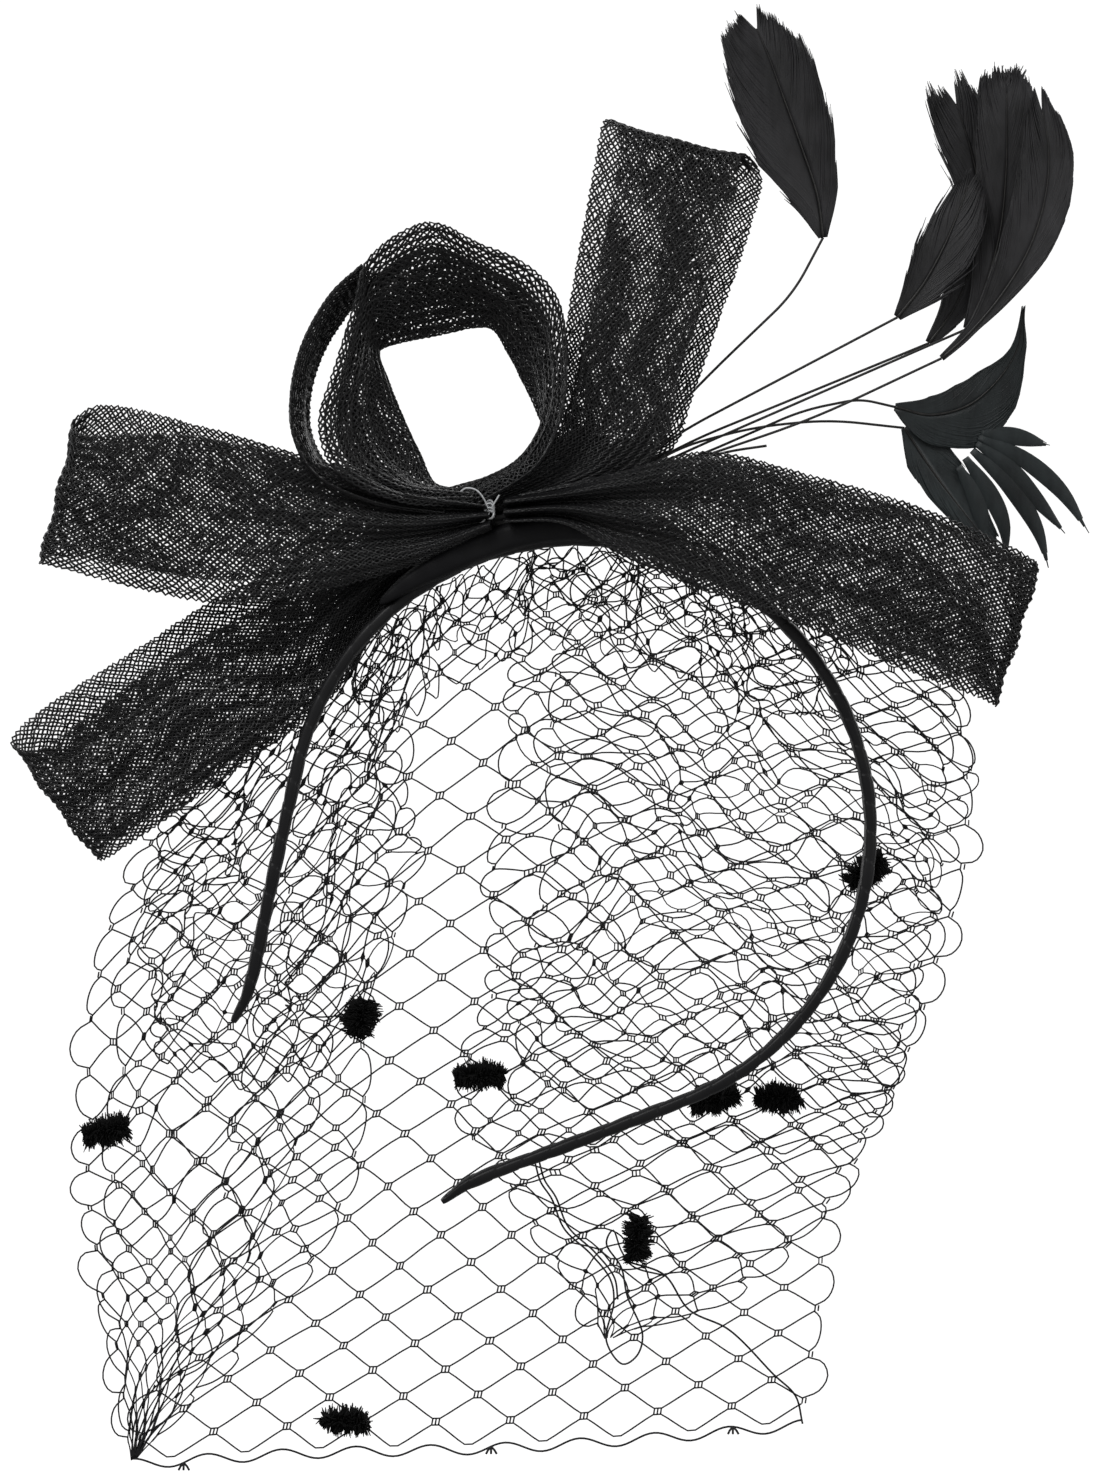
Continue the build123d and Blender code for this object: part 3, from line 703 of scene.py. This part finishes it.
strips = {
    "low_2": {
        "width": 1.9,
        "lines": [
            [(91.6, 90.4), (99.0, 89.6), (108.0, 87.4)],
            [(91.0, 89.4), (101.0, 84.6), (110.0, 77.0), (117.0, 66.4)],
            [(90.6, 88.0), (97.4, 83.0), (103.6, 76.0), (111.6, 66.6)],
            [(89.6, 86.4), (98.0, 78.4), (104.4, 68.6), (107.4, 58.4)],
            [(88.0, 84.6), (93.6, 76.6), (96.8, 69.4), (97.6, 61.0)],
            [(86.4, 82.6), (90.4, 75.6), (92.0, 68.0), (91.2, 62.6)],
        ],
    },
}


def barbLines(feather, depth, random):
    # each barb leaves the spine, swings out to the vane's edge and runs along it, so the edge is smooth
    spine = smoothLine(feather["spine"], 200)
    long = lengthOf(spine)
    shares = np.linspace(0, 1, 200)
    stations = np.linspace(0, 1, len(feather["left"]))
    runs = np.gradient(spine, axis=0)
    runs /= np.linalg.norm(runs, axis=1)[:, None]
    side = np.stack([-runs[:, 1], runs[:, 0]], axis=1)
    lines = []
    slant = feather["slant"]
    sides = ((1, feather["left"], feather["fall"][0]), (-1, feather["right"], feather["fall"][1]))
    for hand, widths, fall in sides:
        drift = random.normal(0, 1, 24)
        for start in np.linspace(-0.96 * slant, 0.97, feather["barbs"]):
            clump = np.interp((start + slant) * 23 / (1 + slant), np.arange(24), drift)
            stray = min(abs(random.normal(0, feather["fray"])), 2 * feather["fray"])
            first = max(0.0, -start / slant)
            reached = min(1.0, (1 - start) / slant)
            ragged = feather["fray"] * (0.25 * clump + random.normal(0, 0.3))
            tip = 1 + 0.07 - fall * (1 - (1 - reached) ** 1.9) ** 2 + ragged
            last = min(1 + 1.6 * stray, max(first + 0.05, (tip - start) / slant))
            q = np.linspace(first, last, 11)
            at = start + slant * q
            out = 1 - (1 - np.clip(q, 0, 1)) ** 1.9
            out = out * (1 + 0.012 * clump) + stray * q ** 4 * (1 + 0.5 * clump)
            over = np.clip(at - 1, 0, None) * long
            at = np.clip(at, 0, 1)
            out = out * np.interp(at, stations, widths) * (1 - 0.035 * over)
            x = np.interp(at, shares, spine[:, 0]) + hand * np.interp(at, shares, side[:, 0]) * out
            z = np.interp(at, shares, spine[:, 1]) + hand * np.interp(at, shares, side[:, 1]) * out
            x, z = x + over * runs[-1, 0], z + over * runs[-1, 1]
            y = depth + feather["bow"] * (out / 13) ** 2 + random.normal(0, 0.16) * np.linspace(0, 1, 11)
            y = y + 0.24 * feather["bow"] * np.sin(np.pi * at) + 0.05 * over ** 2 * np.sign(feather["bow"])
            thin = np.clip(1.15 - np.linspace(0, 1, 11) ** 3, 0.25, 1)
            lines.append(np.stack([x, y, z, thin], axis=1))
    if "tuft" in feather:
        for _ in range(90):
            foot = np.array(feather["tuft"]) + random.normal(0, (1.1, 0.7))
            lean = random.normal(0, 0.9)
            tall = random.uniform(1.6, 3.4)
            lines.append(np.array([
                [foot[0], depth, foot[1] - 4.0, 1.0], [foot[0] + 0.3 * lean, depth, foot[1] - 1.0, 0.9],
                [foot[0] + lean, depth + random.normal(0, 0.6), foot[1] + tall - 1.0, 0.35],
            ]))
    return lines, spine


barbThread, ribThread = 0.24, 0.32  # radii
featherRandom = np.random.default_rng(11)
for name, feather in feathers.items():
    vaneLow, vaneHigh = nodeBox(feather["node"])
    depth = (vaneLow[1] + vaneHigh[1]) / 2
    lines, spine = barbLines(feather, depth, featherRandom)
    # narrow blades beside the vane, each a row of barbs side by side
    for strip in strips.get(name, {"lines": []})["lines"]:
        blade = smoothLine(strip, 60)
        run = np.gradient(blade, axis=0)
        run /= np.linalg.norm(run, axis=1)[:, None]
        along = np.linspace(0, 1, 60)
        for shift in np.linspace(-1, 1, 17):
            ends = along[:int(60 - 4 * abs(shift) - 4 * featherRandom.uniform())]
            swell = 0.35 + np.sin(np.pi * ends ** 1.3)
            body = strips[name]["width"] * swell * (1 - 0.85 * ends ** 1.5) + 0.05
            x = blade[:len(ends), 0] - run[:len(ends), 1] * body * shift
            z = blade[:len(ends), 1] + run[:len(ends), 0] * body * shift
            y = depth - 0.8 + 0.5 * shift ** 2 + 1.4 * ends ** 2
            lines.append(np.stack([x, y, z, np.clip(body / 1.2, 0.3, 1)], axis=1)[::3])
    vane = threads(f"vane_{name}_barbs", lines, barbThread)
    colour = tealFeather if feather.get("teal") else blackFeather
    fit(vane, colour, feather["body"], [feather["node"]])
    shaftDepth = np.full(50, depth - 0.3) + 0.24 * feather["bow"] * np.sin(np.pi * np.linspace(0, 1, 50))
    shaft = np.stack([spine[::4, 0], shaftDepth, spine[::4, 1], np.linspace(1.0, 0.3, 50)], axis=1)
    rib = threads(f"rib_{name}", [shaft], ribThread, sides=8)
    fit(rib, horn, feather["body"])
    print("feather", name, "triangles", 2 * len(vane.data.polygons))
for node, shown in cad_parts.items():
    if node.startswith("quill_"):
        shown.data.materials.clear()
        shown.data.materials.append(horn)

# thread wound round the quills where they meet
binding = {"turns": 16, "lean": 33.7, "start": -3.6, "pitch": 0.48, "halfHigh": 2.2, "thread": 0.26}
bindLow, bindHigh = nodeBox("feather_binding")
bindMiddle = (bindLow + bindHigh) / 2
bindLean = math.radians(binding["lean"])
turns = []
for number in range(binding["turns"]):
    angle = np.linspace(0, 2 * np.pi, 40)
    along = binding["start"] + binding["pitch"] * number
    ringX, ringZ = along, binding["halfHigh"] * np.sin(angle)
    deep = (bindHigh[1] - bindLow[1]) / 2 * 0.97 * np.sign(np.cos(angle)) * np.abs(np.cos(angle)) ** 0.7
    turns.append(np.stack([
        bindMiddle[0] + ringX * math.cos(bindLean) - ringZ * math.sin(bindLean) + 0.1 * np.sin(angle),
        bindMiddle[1] + deep,
        bindMiddle[2] + ringX * math.sin(bindLean) + ringZ * math.cos(bindLean),
    ], axis=1))
windingPiece = threads("featherWinding", turns, binding["thread"], sides=6)
fit(windingPiece, net, "crown")
for node in ("feather_binding", "feather_patch"):
    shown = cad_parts[node]
    shown.data.materials.clear()
    shown.data.materials.append(felt)
print("feathers set")

# birdcage netting: zigzag threads in rows, tied to each other at their turns by short rungs
netting = {"thread": 0.19, "rise": 0.125, "flat": 0.052, "rungs": (-0.046, 0.0, 0.046), "scallop": 3.4}

# each layer hangs between four edges; rows and columns count its diamonds' half heights and whole widths
layers = {
    "veilFront": {
        "top": [(-44, 7, 46), (-22, 7.5, 59), (0, 8, 63.6), (24, 8, 60.5), (56, 9, 50), (84, 11, 38)],
        "right": [(84, 11, 38), (87, 11, 15), (87, 10.5, -7), (81, 10, -29), (70, 10, -60), (57, 10, -83),
                  (53.6, 10, -110), (50.3, 10, -134.6)],
        "bottom": [(-101.4, 10, -143.4), (-62, 10, -141), (-18, 10, -139.8), (20, 10, -137.3),
                   (50.3, 10, -134.6)],
        "left": [(-44, 7, 46), (-60, 8, 10), (-69, 9, -30), (-77, 10, -72), (-88, 10, -105), (-96, 10, -125),
                 (-101.4, 10, -143.4)],
        "columns": 9, "rows": 34, "stray": 0.8, "wave": 1.0, "replaces": ["veil_front"],
    },
    "veilLeftOuter": {
        "top": [(-84, 14, 18), (-62, 13, 36), (-42, 12, 52)],
        "right": [(-42, 12, 52), (-46, 13, 0), (-47, 13, -40), (-50, 13, -72), (-66, 12, -105),
                  (-86, 11, -125), (-100.8, 10, -143)],
        "bottom": [(-101.8, 10, -143.6), (-100.8, 10, -143)],
        "left": [(-84, 14, 18), (-100, 14, -6), (-109, 14, -30), (-111.5, 14, -67), (-110, 13, -88),
                 (-107, 12, -110), (-104, 11, -130), (-101.8, 10, -143.6)],
        "columns": 5, "rows": 32, "stray": 2.2, "wave": 1.6, "replaces": ["veil_left_fold"],
    },
    "veilLeftInner": {
        "top": [(-82, 16, 18), (-60, 16, 34), (-40, 15, 50)],
        "right": [(-40, 15, 50), (-50, 16, 0), (-58, 16, -40), (-66, 16, -75), (-78, 14, -105),
                  (-90, 12, -125), (-100.6, 10.5, -142.8)],
        "bottom": [(-101.4, 11, -143), (-100.6, 10.5, -142.8)],
        "left": [(-82, 16, 18), (-96, 17, -10), (-104, 17, -34), (-107, 17, -70), (-105, 15, -95),
                 (-104, 13, -115), (-101.4, 11, -143)],
        "columns": 4, "rows": 28, "stray": 2.6, "wave": 1.6, "replaces": [],
    },
    "veilLeftGather": {
        "top": [(-84, 18, 14), (-62, 16, 34), (-41, 11, 52)],
        "right": [(-41, 11, 52), (-38, 14, 15), (-46, 16, -30), (-52, 16, -48)],
        "bottom": [(-94, 19, -54), (-72, 18, -60), (-52, 16, -48)],
        "left": [(-84, 18, 14), (-98, 19, -12), (-99, 19, -36), (-94, 19, -54)],
        "columns": 8, "rows": 25, "stray": 5.0, "wave": 2.2, "replaces": [],
    },
    "veilRightOuter": {
        "top": [(-12, 9, 61), (10, 9, 63), (30, 10, 58), (58, 12, 48), (84, 13, 38)],
        "right": [(84, 13, 38), (85, 14, 10), (83, 14, -10), (77, 13, -35), (67, 12, -62), (62, 12, -74)],
        "bottom": [(-24, 14, -74), (10, 14, -72), (40, 13, -74), (62, 12, -74)],
        "left": [(-12, 9, 61), (-15, 11, 30), (-16, 13, 0), (-20, 14, -30), (-26, 14, -60), (-24, 14, -74)],
        "columns": 8, "rows": 34, "stray": 4.0, "wave": 2.0, "replaces": ["veil_right_fold"],
    },
    "veilRightInner": {
        "top": [(2, 10, 64), (26, 12, 58), (54, 14, 48), (82, 15, 36)],
        "right": [(82, 15, 36), (80, 17, 10), (82, 17, -14), (72, 16, -45), (66, 15, -66)],
        "bottom": [(-12, 17, -64), (30, 17, -60), (66, 15, -66)],
        "left": [(2, 10, 64), (-4, 14, 25), (-9, 16, -5), (-14, 17, -45), (-12, 17, -64)],
        "columns": 7, "rows": 27, "stray": 5.0, "wave": 2.4, "replaces": [],
    },
    "veilRightFlap": {
        "top": [(-19, 12, -70), (20, 12, -66), (66, 12, -70)],
        "right": [(66, 12, -70), (58, 12, -85), (44, 11, -96), (27, 11, -106), (7.0, 11.5, -115.6)],
        "bottom": [(5.6, 12, -116), (7.0, 11.5, -115.6)],
        "left": [(-19, 12, -70), (-15, 12, -82), (-9, 12, -94), (-2, 12, -104), (3, 12, -112),
                 (5.6, 12, -116)],
        "columns": 4, "rows": 12, "stray": 2.4, "wave": 1.0, "replaces": [],
    },
    "veilRuffle": {
        "top": [(-46, 6, 47), (-22, 6, 60.6), (0, 6, 64.6), (18, 6, 62), (30.3, 6, 57.2), (58, 7, 49)],
        "right": [(58, 7, 49), (58, 12, 38), (56, 14, 24)],
        "bottom": [(-46, 11, 18), (-20, 12, 37), (0, 12, 40), (24, 12, 33), (56, 14, 24)],
        "left": [(-46, 6, 47), (-47, 9, 36), (-46, 11, 18)],
        "columns": 19, "rows": 7, "stray": 4.0, "wave": 3.0, "replaces": ["veil_ruffle"],
    },
    "veilRuffleBack": {
        "top": [(-50, 8, 42), (-26, 8, 58.6), (0, 8, 64.2), (22, 8, 61), (60, 8, 46)],
        "right": [(60, 8, 46), (62, 14, 40), (62, 15, 34)],
        "bottom": [(-52, 14, 26), (-24, 15, 44), (0, 15, 50), (28, 15, 44), (62, 15, 34)],
        "left": [(-50, 8, 42), (-52, 12, 34), (-52, 14, 26)],
        "columns": 23, "rows": 4, "stray": 3.6, "wave": 2.0, "replaces": [],
    },
}


def hungNet(layer, seed):
    # the net's surface between its four edges, with the strays and waves of a loose hang
    edge = {key: smoothLine(layer[key], 160) for key in ("top", "bottom", "left", "right")}
    shares = np.linspace(0, 1, 160)
    random = np.random.default_rng(seed + 40)
    tilts = random.uniform(0, 2 * np.pi, 12)

    def along(key, share):
        return np.stack([np.interp(share, shares, edge[key][:, i]) for i in range(3)], axis=1)

    def place(u, v):
        u, v = np.clip(u, 0, 1)[:, None], np.clip(v, 0, 1)[:, None]
        corners = (
            (1 - u) * (1 - v) * edge["top"][0] + u * (1 - v) * edge["top"][-1]
            + (1 - u) * v * edge["bottom"][0] + u * v * edge["bottom"][-1]
        )
        point = (
            (1 - v) * along("top", u[:, 0]) + v * along("bottom", u[:, 0])
            + (1 - u) * along("left", v[:, 0]) + u * along("right", v[:, 0]) - corners
        )
        u, v = u[:, 0] * layer["columns"] / 6, v[:, 0] * layer["rows"] / 20
        calm = np.clip(np.minimum(v * 20 / layer["rows"], 1 - v * 20 / layer["rows"]) * 5, 0, 1)
        wander = layer["stray"] * calm
        point[:, 0] += wander * (
            np.sin(9 * u + 5 * v + tilts[0]) + 0.6 * np.sin(17 * u - 11 * v + tilts[1])
            + 0.35 * np.sin(31 * u + 23 * v + tilts[2])
        ) * 0.5
        point[:, 2] += wander * (
            np.sin(7 * u - 8 * v + tilts[3]) + 0.6 * np.sin(19 * u + 13 * v + tilts[4])
            + 0.35 * np.sin(27 * u - 29 * v + tilts[5])
        ) * 0.5
        point[:, 1] += layer["wave"] * calm * np.sin(8 * u + 3 * v + tilts[6])
        return point

    return place


def zigzag(u, row):
    # how far down its row a thread is at column u: flat at its turns, where rungs tie it to the next row
    share = (u + 0.5 * (row % 2)) % 1.0
    fromTurn = np.abs(((share + 0.25) % 0.5) - 0.25)
    half = np.where(np.abs(share - 0.5) < 0.25, 0.0, 1.0)
    slope = np.clip((fromTurn - netting["flat"]) / (0.25 - netting["flat"]), 0, 1)
    slope = slope * (0.9 + 0.1 * slope)
    low, high = 1 - netting["rise"], netting["rise"]
    turn = np.where(half > 0.5, low, high)
    return turn + (0.5 - turn) * slope


# where a thread is followed in each half column: at both sides of its turn and between turns
stepsOfHalf = (-netting["flat"], netting["flat"], 0.15, 0.25, 0.35)


def netLayer(layer, seed):
    place = hungNet(layer, seed)
    columns, rows = layer["columns"], layer["rows"]
    scallops = np.random.default_rng(seed + 90)
    lines, ends = [], []
    u = np.array([half / 2 + step for half in range(2 * columns + 1) for step in stepsOfHalf])
    u = u[(u >= 0) & (u <= columns)]
    for row in range(rows):
        line = place(u / columns, (row + zigzag(u, row)) / rows)
        lines.append(line)
        ends.append((line[0], line[-1], line[0] - line[3], line[-1] - line[-4]))
    # scallops along both sides, where a thread turns back into the next row
    for row in range(1, rows - 1, 2):
        for hand in (0, 1):
            start, end = ends[row][hand], ends[row + 1][hand]
            away = ends[row][hand + 2] + ends[row + 1][hand + 2]
            size = netting["scallop"] * scallops.uniform(0.35, 1.35)
            away = away / (np.linalg.norm(away) + 1e-9) * min(size, 0.5 * np.linalg.norm(end - start))
            lines.append(smoothLine([
                start, start * 0.85 + end * 0.15 + 0.8 * away, (start + end) / 2 + 1.15 * away,
                start * 0.15 + end * 0.85 + 0.8 * away, end,
            ], 12))
    for row in range(rows - 1):
        first = 0.5 if row % 2 else 0.0
        for knotAtColumn in np.arange(first, columns + 0.01, 1.0):
            for step in netting["rungs"]:
                at = np.clip((knotAtColumn + np.array([step, step])) / columns, 0, 1)
                down = (row + np.array([1 - netting["rise"], 1 + netting["rise"]])) / rows
                lines.append(place(at, down))
    return lines, place


liftStart, liftEnd = Vector((0, 9 * mm, 58 * mm)), Vector((0, 9 * mm, 44 * mm))
for seed, (name, layer) in enumerate(layers.items()):
    lines, place = netLayer(layer, seed)
    if name == "veilFront":
        frontPlace = place
    piece = threads(name, lines, netting["thread"])
    fit(piece, net, None, layer["replaces"])
    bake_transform(piece)
    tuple(liftStart)
    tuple(liftEnd)
    print("net", name, "triangles", 2 * len(piece.data.polygons))

# the thicker thread along the hem, its cut ends, and the thread that runs up from its right end
hem = {"thread": 0.32, "waves": 9, "rise": 1.2, "tuft": 1.6}
u = np.linspace(0, 1, 16 * hem["waves"] + 1)
hemPoints = frontPlace(u, np.ones_like(u))
hemPoints[:, 2] += hem["rise"] * np.cos(2 * np.pi * hem["waves"] * u) - 0.4
hemLines = [hemPoints]
for share in (0.08, 0.54, 0.9):
    at = hemPoints[int(share * (len(u) - 1))]
    for lean in (-0.7, 0.0, 0.8):
        tuftMiddle = at + [lean, -0.5, -0.5 * hem["tuft"]]
        tuftEnd = at + [1.6 * lean, -0.9, -hem["tuft"]]
        hemLines.append(np.array([at, tuftMiddle, tuftEnd]))
runUp = [(50.3, 9, -134.6), (48.7, 9, -128.3), (43.7, 9, -123.4), (33.6, 9, -113.3), (24.6, 9, -108.8),
         (19.0, 9, -100.9), (11.1, 9, -98.0)]
hemLines.append(smoothLine(runUp, 60))
hemPiece = threads("veilHem", hemLines, hem["thread"] * 0.8, sides=6)
fit(hemPiece, net, "veil", ["veil_hem"])

# a thread, doubled at first, that hangs out of the flap as a long loop
loose = [(-10.3, 10, -75.4), (-9.0, 10, -79.9), (-6.5, 10, -83.7), (-3.6, 10, -90.6), (2.4, 10, -96.3),
         (6.8, 10, -102.0), (7.6, 10, -107.0), (5.9, 10, -115.9), (9.6, 10, -121.2), (12.8, 10, -119.3),
         (14.1, 10, -114.6), (10.6, 10.5, -105.7), (9.3, 10.5, -99.4), (5.9, 10.5, -93.8), (7.4, 11, -90.9),
         (9.3, 11, -95.6), (11.9, 11, -99.1), (19.4, 11, -101.3)]
looseLines = [smoothLine(loose, 160), smoothLine([(x + 0.9, y + 0.5, z + 0.4) for x, y, z in loose[:7]], 70)]
loosePiece = threads("veilLooseLoop", looseLines, netting["thread"] * 1.15)
fit(loosePiece, net, "veil")
print("veil hung")

# chenille dots: short fuzzy barrels tied on the net
chenille = {
    "tufts": 120, "fibres": 8, "fibre": 0.21, "long": 4.9, "radius": 3.8,
    "turns": (70, 4, 14, -6, 84, 12, -5, 35),  # each dot's lean from level, in degrees
    "round": (0.78, 1.0, 0.96, 1.0, 0.94, 1.04, 1.0, 0.9),  # its length against the usual
}
dotRandom = np.random.default_rng(5)
for number, (turn, share) in enumerate(zip(chenille["turns"], chenille["round"]), start=1):
    low, high = nodeBox(f"veil_dot_{number}")
    middle = (low + high) / 2
    middle[1] = 9.0
    alongDot = np.array([math.cos(math.radians(turn)), 0, math.sin(math.radians(turn))])
    acrossDot = np.array([-alongDot[2], 0, alongDot[0]])
    deep = np.array([0.0, 1.0, 0.0])
    half = chenille["long"] * share
    fibres = []
    for _ in range(chenille["tufts"]):
        position = dotRandom.uniform(-half, half)
        angle = dotRandom.uniform(0, 2 * np.pi)
        tilt = dotRandom.normal(0, 0.16) + 0.05 * position
        rounded = 1 - 0.44 * abs(position / half) ** 2.4  # shorter pile towards the dot's ends
        tall = chenille["radius"] * dotRandom.uniform(0.8, 1.16) * rounded / share ** 0.5
        for _ in range(chenille["fibres"]):
            around = angle + dotRandom.normal(0, 0.2)
            out = math.cos(around) * acrossDot + math.sin(around) * deep
            out = out + (tilt + dotRandom.normal(0, 0.1)) * alongDot
            start = middle + alongDot * (position + dotRandom.normal(0, 0.3))
            long = tall * dotRandom.uniform(0.72, 1.04)
            bend = dotRandom.normal(0, 0.24, 3)
            points = np.array([start, start + out * long * 0.55 + bend * 0.4, start + out * long + bend])
            fibres.append(np.hstack([points, [[1.2], [1.0], [0.5]]]))
    core = np.array([middle - alongDot * half, middle + alongDot * half])
    fibres.append(np.hstack([core, [[6.0], [6.0]]]))
    dot = threads(f"veilDot{number}", fibres, chenille["fibre"])
    fit(dot, pile, "veil", [f"veil_dot_{number}"])
print("dots tied")

# the CAD pieces that still show
for node, material in (("veil_gather_thread", net), ("veil_stitches", net)):
    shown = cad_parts[node]
    shown.data.materials.clear()
    shown.data.materials.append(material)

# studio
# a pale floor that curves up into a wall all round, far enough out to be seen from inside at any angle
paper = studioPaper()
sweep = bmesh.new()
profile = [
    (0.0, -0.34), (2.0, -0.34), (3.6, -0.33), (4.4, -0.2), (4.9, 0.2), (5.1, 0.9), (5.2, 2.0), (5.2, 7.0),
]  # out from the middle and up, in metres
profileVerts = [sweep.verts.new((x, 0.0, z)) for x, z in profile]
profileEdges = [sweep.edges.new(pair) for pair in zip(profileVerts, profileVerts[1:])]
bmesh.ops.spin(
    sweep, geom=profileVerts + profileEdges, cent=(0, 0, 0), axis=(0, 0, 1),
    angle=2 * math.pi, steps=64, use_merge=True,
)
bmesh.ops.remove_doubles(sweep, verts=sweep.verts, dist=1e-5)
bmesh.ops.recalc_face_normals(sweep, faces=sweep.faces)
bmesh.ops.reverse_faces(sweep, faces=sweep.faces)
backdrop = fromBmesh("backdrop", sweep)
backdrop.data.materials.append(paper)
backdrop.visible_diffuse = False
backdrop.visible_glossy = False
backdrop.visible_transmission = False
backdrop.visible_shadow = False

world = bpy.data.worlds.new("studio")
world.use_nodes = True
world.node_tree.nodes["Background"].inputs["Color"].default_value = (1, 1, 1, 1)
world.node_tree.nodes["Background"].inputs["Strength"].default_value = 0.3
bpy.context.scene.world = world
bpy.context.scene.view_settings.view_transform = "Standard"

lamps = {
    "keyLamp": {"at": (-0.8, -1.1, 1.2), "size": 0.6, "power": 12.0},
    "fillLamp": {"at": (1.2, -0.9, 0.5), "size": 0.7, "power": 3.5},
    "rimLamp": {"at": (0.3, 0.6, 1.0), "size": 0.5, "power": 4.0},
    "backLamp": {"at": (0.9, 1.3, 0.5), "size": 0.8, "power": 5.0},
    "backFillLamp": {"at": (-1.1, 1.1, 0.3), "size": 0.8, "power": 4.0},
}
for name, lamp in lamps.items():
    light = bpy.data.lights.new(name, "AREA")
    light.size = lamp["size"]
    light.energy = lamp["power"]
    holder = bpy.data.objects.new(name, light)
    holder.location = lamp["at"]
    holder.rotation_euler = (-holder.location).to_track_quat("-Z", "Y").to_euler()
    holder.visible_camera = False
    bpy.context.scene.collection.objects.link(holder)

lookingIn = {"sensor": 36.0, "lens": 173.4, "at": (-0.0063, -1.6, 0.0206)}  # level, along +Y
cameraData = bpy.data.cameras.new("camera")
cameraData.sensor_width = lookingIn["sensor"]
cameraData.lens = lookingIn["lens"]
camera = bpy.data.objects.new("camera", cameraData)
camera.location = lookingIn["at"]
camera.rotation_euler = (math.pi / 2, 0, 0)
bpy.context.scene.collection.objects.link(camera)
bpy.context.scene.camera = camera
